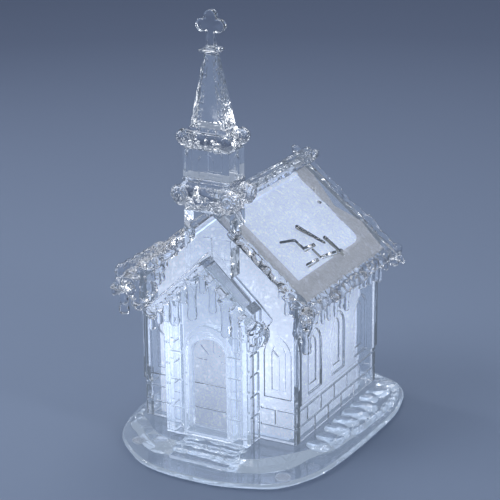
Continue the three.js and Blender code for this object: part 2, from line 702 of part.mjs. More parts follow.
function porchRoof() {
  const half = PORCH_ROOF_HALF_WIDTH;
  const [front, wallFace] = [-PORCH_ROOF_OVERHANG, PORCH_DEPTH - JOINT_GAP];
  const chevron = outline([
    [0, PORCH_ROOF_APEX], [-half, PORCH_ROOF_EAVE], [-half, PORCH_ROOF_EAVE - porchDrop],
    [0, PORCH_ROOF_APEX - porchDrop], [half, PORCH_ROOF_EAVE - porchDrop],
    [half, PORCH_ROOF_EAVE],
  ]);
  const middle = porchDrop / 2;
  const apex = new THREE.Vector3(0, front, PORCH_ROOF_APEX - middle);
  const pieces = [prismAlongY(chevron, front, wallFace)];
  [-1, 1].forEach((side) => {
    const foot = new THREE.Vector3(side * half, front, PORCH_ROOF_EAVE - middle);
    const back = new THREE.Vector3(side * half, wallFace - 0.1, foot.z);
    pieces.push(
      icedRod(apex, foot, FRONT_BEAD_RADIUS * 1.15, 6, side + 43),
      icedRod(foot, back, FRONT_BEAD_RADIUS * 1.1, 3, side + 47),
      ball(FRONT_BEAD_RADIUS * 1.3, foot.x, foot.y, foot.z),
      ...icicleRow(apex.clone().lerp(foot, 0.16), apex.clone().lerp(foot, 0.98), 6,
        3.5, 9, 1.3, side + 23),
      ...icicleRow(foot, foot.clone().lerp(back, 0.75), 2, 4, 7, 1.3, side + 29));
  });
  const wallSpace = block(-2 * half, 2 * half, wallFace, wallFace + 9, 0, ridgeHeight);
  addPiece(porch, 'porch_roof', cut(join(...pieces), wallSpace), clearAcrylic);
}

// Plate across the porch, with the fan light and the board joints of the door in its face
function doorPanel() {
  const half = PORCH_HALF_WIDTH - PORCH_WALL - JOINT_GAP;
  const plate = prismAlongY(porchGable(half, wallFoot), doorFace, doorFace + DOOR_THICKNESS);
  const hub = new THREE.Vector3(0, doorFace, DOOR_SPRING - FAN_DROP);
  const grooves = [0, 45, 90, 135, 180].map((degrees) => {
    const angle = THREE.MathUtils.degToRad(degrees);
    const way = new THREE.Vector3(Math.cos(angle), 0, Math.sin(angle));
    return rodAlong(
      hub.clone().addScaledVector(way, DOORWAY_HALF_WIDTH * 0.36),
      hub.clone().addScaledVector(way, DOORWAY_HALF_WIDTH * 0.92), DOOR_GROOVE / 2, 6);
  });
  for (let height = hub.z - DOOR_BOARD_HEIGHT; height > DOORWAY_SILL + 2; height -= DOOR_BOARD_HEIGHT) {
    grooves.push(block(-DOORWAY_HALF_WIDTH, DOORWAY_HALF_WIDTH, doorFace - 1,
      doorFace + DOOR_GROOVE, height - DOOR_GROOVE / 2, height + DOOR_GROOVE / 2));
  }
  addPiece(porch, 'door_panel', cut(plate, ...grooves), clearAcrylic);
}

// Steeple

function porchRoofSpace() {
  const half = PORCH_ROOF_HALF_WIDTH;
  const top = PORCH_ROOF_APEX + FRONT_BEAD_RADIUS + JOINT_GAP;
  return prismAlongY(outline([
    [-half, top - porchSlope * half], [-half, -1], [half, -1], [half, top - porchSlope * half],
    [0, top],
  ]), -2 * PORCH_DEPTH, 0);
}

// A shaft of the steeple's plan, from its foot at z = 0
function shaftOf(halfX, halfY, height) {
  return block(-halfX, halfX, -halfY, halfY, 0, height);
}

// Joints around a stone at the right of the tower's front, from the tower's foot
function towerJoints() {
  const [face, half] = [-TOWER_HALF_DEPTH, TOWER_JOINT / 2];
  const joint = (x0, x1, z0, z1) => block(x0, x1, face - 1, face + TOWER_JOINT, z0, z1);
  const high = towerTop - TOWER_STONE_DROP - towerFoot;
  const low = high - TOWER_STONE_HEIGHT;
  const left = TOWER_HALF_WIDTH - TOWER_STONE_WIDTH;
  return [
    joint(left - TOWER_STONE_WIDTH / 2, TOWER_HALF_WIDTH + 1, high - half, high + half),
    joint(left - half, TOWER_HALF_WIDTH + 1, low - half, low + half),
    joint(left - half, left + half, low, high),
  ];
}

function towerBlock() {
  const seat = (solid) => seenFrom(0, STEEPLE_AXIS_Y, towerFoot, solid);
  const whole = shaftOf(TOWER_HALF_WIDTH, TOWER_HALF_DEPTH, towerTop - towerFoot);
  addPiece(steeple, 'tower_block',
    cut(whole, seat(porchRoofSpace()), seat(roofSpace()), ...towerJoints()),
    clearAcrylic, 0, 0, towerFoot);
}

// Drips under a collar's front and rear edges
function collarDrips(half, ratio, top, longest, seed) {
  return [-1, 1].flatMap((side) => {
    const y = side * half * ratio;
    const start = new THREE.Vector3(-half * 0.62, y, top);
    const end = new THREE.Vector3(half * 0.62, y, top);
    return icicleRow(start, end, 3, longest * 0.6, longest, 0.95, seed + side);
  });
}

// Rolled ice at the four corners of a collar
function collarBulbs(reachX, reachY, radius, tall, height) {
  return [[-1, -1], [1, -1], [1, 1], [-1, 1]].map(([sx, sy]) => {
    const geometry = new THREE.SphereGeometry(radius, 8, 5).rotateX(Math.PI / 2);
    geometry.scale(1, 1, tall).translate(sx * reachX, sy * reachY, height);
    return solidOf(geometry);
  });
}

// Moulded band with an arch in its front and rear, a sloping ledge and an iced rim.
// It sits astride the roof, so the roof's and the ridge's room is taken out of it.
function lowerCollar() {
  const [half, height, reach] = [TOWER_HALF_WIDTH, LOWER_COLLAR_HEIGHT, LOWER_COLLAR_REACH];
  const ratio = TOWER_HALF_DEPTH / TOWER_HALF_WIDTH;
  const band = stepped([
    [0, 0], [half, 0], [half, height * 0.32], [half + reach, height * 0.42],
    [half + reach, height * 0.62], [half + 0.2, height * 0.84], [half + 0.6, height * 0.92],
    [half + 0.2, height], [0, height],
  ], 0, 0, ratio);
  const arch = lancet(0, COLLAR_ARCH_HALF_WIDTH, -1, height * 0.12, COLLAR_ARCH_HALF_WIDTH * 0.9);
  const bulbs = collarBulbs(half + reach - LOWER_BULB_RADIUS * 0.3,
    (half + reach) * ratio - LOWER_BULB_RADIUS * 0.3, LOWER_BULB_RADIUS, 1.2, height * 0.45);
  const face = TOWER_HALF_DEPTH;
  const seat = (solid) => seenFrom(0, STEEPLE_AXIS_Y, lowerCollarFoot, solid);
  const under = block(-BODY_WIDTH, BODY_WIDTH, -BODY_WIDTH, BODY_WIDTH, -height, 0);
  const whole = cut(
    join(band, ...bulbs, ...collarDrips(half + reach * 0.7, ratio, height * 0.42, height * 0.4, 41)),
    prismAlongY(arch, -2 * face, -face + COLLAR_ARCH_DEPTH, 4),
    prismAlongY(arch, face - COLLAR_ARCH_DEPTH, 2 * face, 4),
    under, seat(roofSpace()), seat(ridgeBead(JOINT_GAP)));
  addPiece(steeple, 'lower_collar', whole, clearAcrylic, 0, 0, lowerCollarFoot);
}

// The band under the spire, with a rim that its drips hang from
function upperCollar() {
  const [half, height, reach] = [BELFRY_HALF_WIDTH, UPPER_COLLAR_HEIGHT, UPPER_COLLAR_REACH];
  const ratio = BELFRY_HALF_DEPTH / BELFRY_HALF_WIDTH;
  const band = stepped([
    [0, 0], [half - 0.6, 0], [half + reach, height * 0.34], [half + reach, height * 0.58],
    [SPIRE_BASE_HALF_WIDTH + 1, height * 0.86], [SPIRE_BASE_HALF_WIDTH + 0.6, height], [0, height],
  ], 0, 0, ratio);
  const bulbs = collarBulbs(half + reach - UPPER_BULB_RADIUS * 0.3,
    (half + reach) * ratio - UPPER_BULB_RADIUS * 0.3, UPPER_BULB_RADIUS, 1.35, height * 0.5);
  const drips = collarDrips(half + reach * 0.6, ratio, height * 0.44, height * 0.42, 47);
  const under = block(-BODY_WIDTH, BODY_WIDTH, -BODY_WIDTH, BODY_WIDTH, -height, 0);
  addPiece(steeple, 'upper_collar', cut(join(band, ...bulbs, ...drips), under),
    clearAcrylic, 0, 0, upperCollarFoot);
}

function belfry() {
  const [halfX, halfY, height] = [BELFRY_HALF_WIDTH, BELFRY_HALF_DEPTH, BELFRY_HEIGHT];
  const spring = height - 4.5;
  const arch = lancet(0, BELFRY_WINDOW_WIDTH / 2, 1, spring, 3.2);
  const sideArch = lancet(0, BELFRY_WINDOW_WIDTH / 3, 1, spring, 3.2);
  addPiece(steeple, 'belfry', cut(shaftOf(halfX, halfY, height),
    prismAlongY(arch, -halfY - 1, -halfY + BELFRY_WINDOW_DEPTH, 3),
    prismAlongY(arch, halfY - BELFRY_WINDOW_DEPTH, halfY + 1, 3),
    prismAlongX(sideArch, -halfX - 1, -halfX + BELFRY_WINDOW_DEPTH, 3),
    prismAlongX(sideArch, halfX - BELFRY_WINDOW_DEPTH, halfX + 1, 3)),
  clearAcrylic, 0, 0, belfryFoot);
}

// A tall pyramid whose four edges are planed off by a second one turned by an eighth
function spire() {
  const ratio = SPIRE_BASE_HALF_DEPTH / SPIRE_BASE_HALF_WIDTH;
  const [low, high] = [SPIRE_BASE_HALF_WIDTH, SPIRE_TOP_HALF_WIDTH];
  const pyramid = stepped([[0, 0], [low, 0], [high, SPIRE_HEIGHT], [0, SPIRE_HEIGHT]], 0, 0, ratio);
  const reach = (half) => 2 * half - SPIRE_CHAMFER;
  const planes = turned([[0, 0], [reach(low), 0], [reach(high), SPIRE_HEIGHT],
    [0, SPIRE_HEIGHT]], 0, 0, 4);
  addPiece(steeple, 'spire', pyramid.intersect(solidOf(planes.scale(1, ratio, 1))),
    clearAcrylic, 0, 0, spireFoot);
}

function finialRing() {
  const [half, height] = [RING_HALF_WIDTH, RING_HEIGHT];
  addPiece(steeple, 'finial_ring', stepped([
    [0, 0], [half - 0.9, 0], [half, height * 0.35], [half, height * 0.65], [half - 0.9, height],
    [0, height],
  ], 0, 0, RING_HALF_DEPTH / RING_HALF_WIDTH), clearAcrylic, 0, 0, ringFoot);
}

function cross() {
  const [bar, depth] = [CROSS_BAR / 2, CROSS_DEPTH / 2];
  const armHeight = CROSS_HEIGHT - CROSS_WIDTH / 2;
  const arm = CROSS_WIDTH / 2 - CROSS_BUD_RADIUS;
  const buds = [[-arm, armHeight], [arm, armHeight], [0, CROSS_HEIGHT - CROSS_BUD_RADIUS]];
  const budShape = ([x, z]) => new THREE.Shape().absarc(x, z, CROSS_BUD_RADIUS, 0, 2 * Math.PI);
  addPiece(steeple, 'cross', join(
    block(-bar, bar, -depth, depth, 0, CROSS_HEIGHT - CROSS_BUD_RADIUS),
    block(-arm, arm, -depth, depth, armHeight - bar, armHeight + bar),
    ...buds.map((bud) => prismAlongY(budShape(bud), -depth, depth, 8))),
  clearAcrylic, 0, 0, crossFoot);
}

// Base

// Rim of the ice plate: an oval, squarer where the church's corners need room
function rimCurve(inset) {
  const left = -halfWidth - RIM_LEFT + inset;
  const right = halfWidth + RIM_RIGHT - inset;
  const front = -RIM_FRONT + inset;
  const rear = BODY_LENGTH + RIM_REAR - inset;
  const squareness = (cos, sin) => {
    if (cos < 0) return sin < 0 ? 2.3 : 4;
    return sin < 0 ? 3.1 : 4.2;
  };
  const points = [];
  for (let i = 0; i < RIM_STEPS; i += 1) {
    const angle = (i / RIM_STEPS) * 2 * Math.PI;
    const [cos, sin] = [Math.cos(angle), Math.sin(angle)];
    const power = 2 / squareness(cos, sin);
    const ripple = 1 + 0.006 * Math.sin(7 * angle + 0.6) + 0.004 * Math.sin(12 * angle);
    points.push(new THREE.Vector2(
      (left + right) / 2 + ((right - left) / 2) * Math.sign(cos) * Math.abs(cos) ** power * ripple,
      (front + rear) / 2 + ((rear - front) / 2) * Math.sign(sin) * Math.abs(sin) ** power * ripple));
  }
  return points;
}

function icePlate() {
  const settings = {
    depth: PLATE_THICKNESS - 2 * PLATE_RIM_RADIUS,
    bevelThickness: PLATE_RIM_RADIUS,
    bevelSize: PLATE_RIM_RADIUS,
    bevelSegments: 2,
  };
  const shape = new THREE.Shape(rimCurve(PLATE_RIM_RADIUS));
  const geometry = new THREE.ExtrudeGeometry(shape, settings);
  return solidOf(geometry.translate(0, 0, baseUnder + PLATE_RIM_RADIUS));
}

// Edge of the raised ground, by its share of the church's width and length, how far it lies
// from there and how far its bank spreads
function groundEdge() {
  const edge = (side, share, dx, dy, spread) => new THREE.Vector3(
    side * halfWidth + dx, share * BODY_LENGTH + dy, spread);
  return new THREE.CatmullRomCurve3([
    edge(0, 0, -19.5, -14.5, 9),
    edge(0, 0, 0, -17, 8),
    edge(0, 0, 18.5, -19.5, 8.5),
    edge(1, 0, -10, -17, 10),
    edge(1, 0, -2, -8.5, 7),
    edge(1, 0, 6, 2, 3),
    edge(1, 0.18, 11.3, 0, 1.2),
    edge(1, 0.47, 14, 0, 0.9),
    edge(1, 0.74, 14.6, 0, 0.8),
    edge(1, 1, 11, -4, 0.9),
    edge(1, 1, 0, 4, 1.5),
    edge(0, 1, 8, 6, 2),
    edge(-1, 1, 14, 5.5, 2),
    edge(-1, 1, 0.5, 2, 1.6),
    edge(-1, 0.84, -3.6, 0, 2),
    edge(-1, 0.4, -4, 0, 2.5),
    edge(-1, 0, -3.5, 4, 4),
    edge(-1, 0, 6, -6, 7),
  ], true, 'centripetal');
}

// Closed body through rings of equally many points, from the lowest ring up
function loft(rings) {
  const count = rings[0].length;
  const positions = rings.flat().flatMap((point) => [point.x, point.y, point.z]);
  const index = [];
  for (let ring = 0; ring + 1 < rings.length; ring += 1) {
    for (let i = 0; i < count; i += 1) {
      const [a, b] = [ring * count + i, ring * count + ((i + 1) % count)];
      index.push(a, b, b + count, a, b + count, a + count);
    }
  }
  const capOf = (ring) => THREE.ShapeUtils.triangulateShape(
    ring.map((point) => new THREE.Vector2(point.x, point.y)), []);
  const last = (rings.length - 1) * count;
  capOf(rings[0]).forEach(([a, b, c]) => index.push(a, c, b));
  capOf(rings.at(-1)).forEach(([a, b, c]) => index.push(last + a, last + b, last + c));
  const geometry = new THREE.BufferGeometry();
  geometry.setAttribute('position', new THREE.Float32BufferAttribute(positions, 3));
  geometry.setIndex(index);
  return solidOf(geometry);
}

function snowGround() {
  const steps = RIM_STEPS;
  const edge = groundEdge().getSpacedPoints(steps).slice(0, steps);
  const rings = [[], [], [], []];
  edge.forEach((point, i) => {
    const before = edge[(i + steps - 1) % steps];
    const after = edge[(i + 1) % steps];
    const out = new THREE.Vector2(after.y - before.y, before.x - after.x).normalize();
    const wave = 1 + 0.16 * Math.sin((i / steps) * 2 * Math.PI * GROUND_RIPPLES);
    const reach = point.z * wave + GROUND_RIPPLE * 0.3 * Math.sin(i * 1.7);
    const ring = (share, z) => new THREE.Vector3(
      point.x + out.x * reach * share, point.y + out.y * reach * share, z);
    rings[0].push(ring(1, groundBottom - PLATE_THICKNESS / 2));
    rings[1].push(ring(1, groundBottom));
    rings[2].push(ring(0.6, groundBottom + GROUND_HEIGHT * 0.55));
    rings[3].push(ring(0.08, 0));
  });
  return loft(rings);
}

function frontSteps() {
  const start = -PORCH_DEPTH - QUOIN_PROUD - JOINT_GAP;
  return Array.from({ length: STEP_COUNT }, (_, i) => {
    const top = STEP_RISE * (1 - i);
    const front = start - STEP_TREAD * (i + 1);
    return block(-STEP_LEFT, STEP_RIGHT, front, start - STEP_TREAD * i + (i ? 0.5 : 0),
      groundBottom - 0.5, top);
  });
}

// Screws between the case and the side sheets, from the case's front
function screwPlaces() {
  return [6, caseLength - 6].flatMap((y) => [-screwReach, screwReach].map((x) => [x, y]));
}

function basePlate() {
  const clear = JOINT_GAP;
  const bosses = screwPlaces().map(([x, y]) => rod(SCREW_BOSS_RADIUS, x, CASE_FRONT + y, -1,
    SCREW_BOSS_HEIGHT));
  const bores = screwPlaces().map(([x, y]) => rod(SCREW_RADIUS + SCREW_CLEARANCE, x, CASE_FRONT + y,
    baseUnder, baseUnder + SCREW_HEAD_HEIGHT + SCREW_LENGTH + 0.6, 10));
  const rebate = block(-flangeHalfWidth - clear, flangeHalfWidth + clear,
    CASE_FRONT + flangeFront - clear, CASE_FRONT + flangeRear + clear, baseUnder - 1,
    baseUnder + flangeTop + clear);
  const well = block(-caseWidth / 2 - clear, caseWidth / 2 + clear,
    CASE_FRONT - clear, CASE_FRONT + caseLength + clear, baseUnder - 1, SCREW_BOSS_HEIGHT + 1);
  const plate = join(icePlate(), snowGround(), ...frontSteps(), ...bosses);
  addPiece(shell, 'base_plate', cut(plate, rebate, well, ...bores), clearAcrylic);
}

// Pads at the four rounded corners of the plate's underside
function footPads() {
  const rim = rimCurve(2 * PAD_RADIUS);
  const profile = [[0, 0], [PAD_RADIUS - 0.3, 0], [PAD_RADIUS, PAD_HEIGHT - 0.2],
    [PAD_RADIUS, PAD_HEIGHT], [0, PAD_HEIGHT]];
  [1, 3, 5, 7].forEach((eighth, i) => {
    const place = rim[Math.round((eighth / 8) * RIM_STEPS)];
    addPiece(shell, `foot_pad_${i + 1}`, solidOf(turned(profile, 0, 0, 12)), clearRubber,
      place.x, place.y, baseUnder - PAD_HEIGHT);
  });
}

// Glittered sheets

function liningSheets() {
  const foot = wallFoot;
  const length = sheetRear - sheetFront;
  const rise = SHEET_ROOF_GAP + 2 * JOINT_GAP + SHEET / Math.cos(ROOF_PITCH);
  const gable = outline([
    [-sheetSide, foot], [sheetSide, foot], [sheetSide, roofUnderAt(sheetSide) - rise],
    [0, roofUnderAt(0) - rise], [-sheetSide, roofUnderAt(sheetSide) - rise],
  ]);
  const gableSheet = prismAlongY(gable, 0, SHEET);
  addPiece(lining, 'front_sheet', gableSheet, glitterWhite);
  addPiece(lining, 'rear_sheet', gableSheet, glitterWhite, 0, length - SHEET, 0);
  const side = prismAlongY(outline([
    [sheetSide - SHEET, foot], [sheetSide, foot], [sheetSide, roofUnderAt(sheetSide) - rise],
    [sheetSide - SHEET, roofUnderAt(sheetSide - SHEET) - rise],
  ]), SHEET + JOINT_GAP, length - SHEET - JOINT_GAP);
  addPiece(lining, 'right_sheet', side, glitterWhite);
  addPiece(lining, 'left_sheet', mirrored(side), glitterWhite);
  const outer = -ROOF_THICKNESS - SHEET_ROOF_GAP;
  const end = (halfWidth - WALL - SHEET_EAVE_GAP - outer * Math.sin(ROOF_PITCH)) / Math.cos(ROOF_PITCH);
  const roofSheet = slopeSlab(SHEET_RIDGE_GAP, end, 0, length, outer - SHEET, outer);
  addPiece(lining, 'right_roof_sheet', roofSheet, glitterWhite);
  addPiece(lining, 'left_roof_sheet', mirrored(roofSheet), glitterWhite);
}

function porchSheet() {
  const half = PORCH_HALF_WIDTH - PORCH_WALL - 1.5;
  const sheet = prismAlongY(outline([
    [-half, wallFoot], [half, wallFoot], [half, porchUnderAt(half) - 0.4],
    [0, porchUnderAt(0) - 0.4], [-half, porchUnderAt(half) - 0.4],
  ]), 0, SHEET);
  addPiece(porch, 'porch_sheet', sheet, glitterWhite, 0, doorFace + DOOR_THICKNESS + JOINT_GAP, 0);
}

// Battery and lamp module

// The bay lid slides along Y in rails; its tabs drop out through gaps in the rail lips
function tabPlaces() {
  const spacing = (bayLength - TAB_LENGTH) / (TAB_COUNT - 1);
  return Array.from({ length: TAB_COUNT }, (_, i) => bayFront + i * spacing);
}

function batteryCase() {
  const tabReach = bayWidth / 2 + BAY_LID_LAP + RAIL_LIP;
  const lidReach = bayWidth / 2 + BAY_LID_LAP;
  const clear = JOINT_GAP;
  const [lidFront, lidRear] = [bayFront - BAY_LID_LAP, bayRear + BAY_LID_LAP];
  const recess = (reach, z0, z1, y1) => block(bayMiddle - reach - clear, bayMiddle + reach + clear,
    lidFront - clear, y1, z0, z1);
  const travelEnd = lidRear + DOOR_TRAVEL + clear;
  const drops = tabPlaces().map((y) => block(bayMiddle - tabReach - clear,
    bayMiddle + tabReach + clear, y + DOOR_TRAVEL - clear, y + DOOR_TRAVEL + TAB_LENGTH + clear,
    -1, railTop));
  const switchLeft = caseWidth / 2 - CASE_WALL - SWITCH_BAY;
  const shell = join(
    block(-caseWidth / 2, caseWidth / 2, 0, caseLength, flangeTop - 1, caseTop),
    block(-flangeHalfWidth, flangeHalfWidth, flangeFront, flangeRear, 0, flangeTop));
  const heads = screwPlaces().map(([x, y]) => rod(SCREW_HEAD_RADIUS + SCREW_CLEARANCE, x, y, -1,
    SCREW_HEAD_HEIGHT + clear, 10));
  const shanks = screwPlaces().map(([x, y]) => rod(SCREW_RADIUS + SCREW_CLEARANCE, x, y, 0,
    flangeTop + 1, 10));
  addPiece(lampModule, 'battery_case', cut(shell,
    block(bayLeft, bayLeft + bayWidth, bayFront, bayRear, railTop - 0.5, caseTop - CASE_WALL),
    block(switchLeft, switchLeft + SWITCH_BAY, bayFront, bayRear, flangeTop, caseTop + 1),
    recess(lidReach, -1, railTop, travelEnd),
    recess(tabReach, RAIL_LIP, railTop, travelEnd),
    ...drops, ...heads, ...shanks, ...switchCuts()), whitePlastic);
}

function bayLid() {
  const lidReach = bayWidth / 2 + BAY_LID_LAP;
  const top = lidUnder + BAY_LID_THICKNESS;
  const tabLow = RAIL_LIP + 0.25;
  const [front, rear] = [bayFront - BAY_LID_LAP, bayRear + BAY_LID_LAP];
  const plate = block(bayMiddle - lidReach, bayMiddle + lidReach, front, rear, lidUnder, top);
  const tabs = tabPlaces().map((y) => block(bayMiddle - lidReach - RAIL_LIP,
    bayMiddle + lidReach + RAIL_LIP, y, y + TAB_LENGTH, tabLow, top));
  const grips = [0, 1, 2].map((i) => block(bayMiddle - 6, bayMiddle + 6,
    rear - 9 + i * 2.2, rear - 8 + i * 2.2, lidUnder - 1, lidUnder + 0.5));
  addPiece(lampModule, 'battery_lid', cut(join(plate, ...tabs), ...grips), whitePlastic);
}

function cellMiddle(i) {
  return bayLeft + CELL_GAP + CELL_RADIUS + i * cellPitch;
}

// Cells lie along Y, and every second one is turned end for end
function cells() {
  const spread = CONTACT_THICKNESS + 2 * JOINT_GAP + SPRING_LENGTH;
  const [r, body] = [CELL_RADIUS, CELL_LENGTH - NUB_LENGTH];
  const profile = [[0, 0], [r - 0.5, 0], [r, 0.5], [r, body - 0.6], [r - 0.7, body],
    [NUB_RADIUS, body], [NUB_RADIUS, CELL_LENGTH], [0, CELL_LENGTH]];
  const points = profile.map(([radius, along]) => new THREE.Vector2(radius, along));
  for (let i = 0; i < CELL_COUNT; i += 1) {
    const forward = i % 2 === 0;
    const cell = addPiece(lampModule, `battery_cell_${i + 1}`,
      solidOf(new THREE.LatheGeometry(points, 14)), cellJacket,
      cellMiddle(i), forward ? bayFront + spread : bayRear - spread, cellHeight);
    cell.rotation.z = forward ? 0 : Math.PI;
  }
}

// A cone of wire along Y, wound on one unbroken helix
class SpringPath extends THREE.Curve {
  getPoint(t, target = new THREE.Vector3()) {
    const angle = t * SPRING_TURNS * 2 * Math.PI;
    const radius = THREE.MathUtils.lerp(SPRING_RADIUS, SPRING_RADIUS * 0.6, t);
    const length = SPRING_LENGTH - 3 * SPRING_WIRE - JOINT_GAP;
    return target.set(radius * Math.cos(angle), t * length, radius * Math.sin(angle));
  }
}

function contacts() {
  const plate = (name, from, to, atFront) => {
    const y = atFront ? bayFront + JOINT_GAP : bayRear - JOINT_GAP - CONTACT_THICKNESS;
    addPiece(lampModule, name, block(cellMiddle(from) - 3.6, cellMiddle(to) + 3.6, 0,
      CONTACT_THICKNESS, -3.6, 3.6), nickel, 0, y, cellHeight);
  };
  plate('front_lead_contact', 0, 0, true);
  plate('front_link_contact', 1, 2, true);
  plate('rear_link_contact', 0, 1, false);
  plate('rear_lead_contact', 2, 2, false);
}

// A spring stands on the contact at the flat end of each cell
function springs() {
  const inset = 2 * JOINT_GAP + CONTACT_THICKNESS + SPRING_WIRE;
  const wire = new THREE.Shape().absarc(0, 0, SPRING_WIRE, 0, 2 * Math.PI);
  for (let i = 0; i < CELL_COUNT; i += 1) {
    const geometry = new THREE.ExtrudeGeometry(wire, {
      steps: SPRING_TURNS * SPRING_STEPS, curveSegments: 3, bevelEnabled: false,
      extrudePath: new SpringPath(),
    });
    const forward = i % 2 === 0;
    const spring = addPiece(lampModule, `battery_spring_${i + 1}`, solidOf(geometry), nickel,
      cellMiddle(i), forward ? bayFront + inset : bayRear - inset, cellHeight);
    spring.rotation.z = forward ? 0 : Math.PI;
  }
}

const switchMiddleX = caseWidth / 2 - CASE_WALL - SWITCH_BAY / 2;
const switchMiddleY = (bayFront + bayRear) / 2;
const knobStart = switchMiddleY - (KNOB_LENGTH + SWITCH_TRAVEL) / 2;

function knobSlot(clear, z0, z1) {
  return block(switchMiddleX - KNOB_WIDTH / 2 - clear, switchMiddleX + KNOB_WIDTH / 2 + clear,
    knobStart - clear, knobStart + KNOB_LENGTH + SWITCH_TRAVEL + clear, z0, z1);
}

function switchCuts() {
  const reach = SWITCH_WIDTH / 2 + 0.6;
  return [
    knobSlot(JOINT_GAP, -1, flangeTop + 1),
    block(switchMiddleX - reach, switchMiddleX + reach, knobStart - 3,
      knobStart + KNOB_LENGTH + SWITCH_TRAVEL + 3, -1, 1),
  ];
}

function slideSwitch() {
  const foot = flangeTop + JOINT_GAP;
  const body = block(switchMiddleX - SWITCH_WIDTH / 2, switchMiddleX + SWITCH_WIDTH / 2,
    switchMiddleY - SWITCH_LENGTH / 2, switchMiddleY + SWITCH_LENGTH / 2, foot,
    foot + SWITCH_HEIGHT);
  addPiece(lampModule, 'switch_body', cut(body, knobSlot(JOINT_GAP, foot - 1, foot + 1.6)), darkPlastic);
  const top = foot + 1.3;
  const low = 0.2;
  const [halfX, halfY] = [KNOB_WIDTH / 2, KNOB_LENGTH / 2];
  const stem = block(-halfX, halfX, -halfY, halfY, low, top);
  const notch = block(-KNOB_WIDTH, KNOB_WIDTH, -0.3, 0.3, low - 1, low + 0.4);
  addPiece(lampModule, 'switch_knob', cut(stem, notch), darkPlastic, switchMiddleX,
    knobStart + halfY, 0);
}

function lampTray() {
  const inset = SHEET + TRAY_CLEARANCE;
  const plate = block(-sheetSide + inset, sheetSide - inset, inset - SHEET_CASE_GAP,
    caseLength + SHEET_CASE_GAP - inset, 0, TRAY_THICKNESS);
  const wireHole = block(switchMiddleX - 2, switchMiddleX + 2, switchMiddleY + 8,
    switchMiddleY + 14, -1, TRAY_THICKNESS + 1);
  addPiece(lampModule, 'lamp_tray', cut(plate, wireHole), whitePlastic, 0, 0, trayUnder);
}

function lampBoard() {
  const half = BOARD_SIZE / 2;
  addPiece(lampModule, 'lamp_board', block(-half, half, -half, half, 0, BOARD_THICKNESS),
    boardWhite, 0, lampMiddle, boardUnder);
}

// Round lamps with a domed head on a flanged foot
function lamps() {
  const shoulder = LED_HEIGHT - LED_RADIUS;
  const profile = [[0, 0], [LED_RADIUS + 0.4, 0], [LED_RADIUS + 0.4, 1], [LED_RADIUS, 1],
    [LED_RADIUS, shoulder]];
  [30, 60].forEach((degrees) => {
    const angle = THREE.MathUtils.degToRad(degrees);
    profile.push([LED_RADIUS * Math.cos(angle), shoulder + LED_RADIUS * Math.sin(angle)]);
  });
  profile.push([0, LED_HEIGHT]);
  const half = LED_SPACING / 2;
  [[-1, -1], [1, -1], [-1, 1], [1, 1]].forEach(([sx, sy], i) => {
    addPiece(lampModule, `led_${i + 1}`, solidOf(turned(profile, 0, 0, 8)), ledLens,
      sx * half, lampMiddle + sy * half, ledFoot);
  });
}

function caseScrews() {
  const profile = [[0, 0], [SCREW_HEAD_RADIUS - 0.3, 0], [SCREW_HEAD_RADIUS, 0.4],
    [SCREW_HEAD_RADIUS, SCREW_HEAD_HEIGHT], [SCREW_RADIUS, SCREW_HEAD_HEIGHT],
    [SCREW_RADIUS, SCREW_HEAD_HEIGHT + SCREW_LENGTH - 1], [0, SCREW_HEAD_HEIGHT + SCREW_LENGTH]];
  screwPlaces().forEach(([x, y], i) => {
    addPiece(lampModule, `case_screw_${i + 1}`, solidOf(turned(profile, 0, 0, 8)), nickel,
      x, y, 0.2);
  });
}

// The whole ornament

basePlate();
footPads();
frontWall();
rearWall();
const rightWall = sideWall();
addPiece(shell, 'right_wall', rightWall, clearAcrylic);
addPiece(shell, 'left_wall', mirrored(rightWall), clearAcrylic);
addPiece(shell, 'right_roof', roofSlope(2, 6.5), clearAcrylic);
addPiece(shell, 'left_roof', mirrored(roofSlope(7, 9)), clearAcrylic);
addPiece(shell, 'ridge_cap', ridgeBead(0), clearAcrylic);
porchFront();
const rightPorchWall = porchSide();
addPiece(porch, 'right_porch_wall', rightPorchWall, clearAcrylic);
addPiece(porch, 'left_porch_wall', mirrored(rightPorchWall), clearAcrylic);
porchRoof();
doorPanel();
towerBlock();
lowerCollar();
belfry();
upperCollar();
spire();
finialRing();
cross();
liningSheets();
porchSheet();
batteryCase();
bayLid();
cells();
contacts();
springs();
slideSwitch();
lampTray();
lampBoard();
lamps();
caseScrews();

// The origin is under the middle of the whole ornament, on the surface that it stands on
const reach = new THREE.Box3().setFromObject(church);
const middle = reach.getCenter(new THREE.Vector3());
church.position.set(-middle.x, -middle.y, -reach.min.z);

export default church;
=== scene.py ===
import math
import random

import bmesh
import bpy
from mathutils import Matrix, Quaternion, Vector, noise


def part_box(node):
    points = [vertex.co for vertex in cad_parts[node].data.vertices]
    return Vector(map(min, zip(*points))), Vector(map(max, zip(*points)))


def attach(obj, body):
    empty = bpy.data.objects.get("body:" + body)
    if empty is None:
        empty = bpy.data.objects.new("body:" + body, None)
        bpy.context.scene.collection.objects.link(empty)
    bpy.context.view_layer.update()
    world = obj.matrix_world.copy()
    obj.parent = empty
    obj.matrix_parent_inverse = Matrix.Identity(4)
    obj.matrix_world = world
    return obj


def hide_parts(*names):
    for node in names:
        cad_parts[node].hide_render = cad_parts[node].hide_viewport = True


bl_info = {
    "name": "Lighted Acrylic Church",
    "version": (1, 0, 0),
    "blender": (4, 5, 0),
    "location": "View3D > Sidebar > Church",
    "description": "Finishes a clear acrylic church with iced roofs, glittered sheets and a lamp",
    "category": "Object",
}

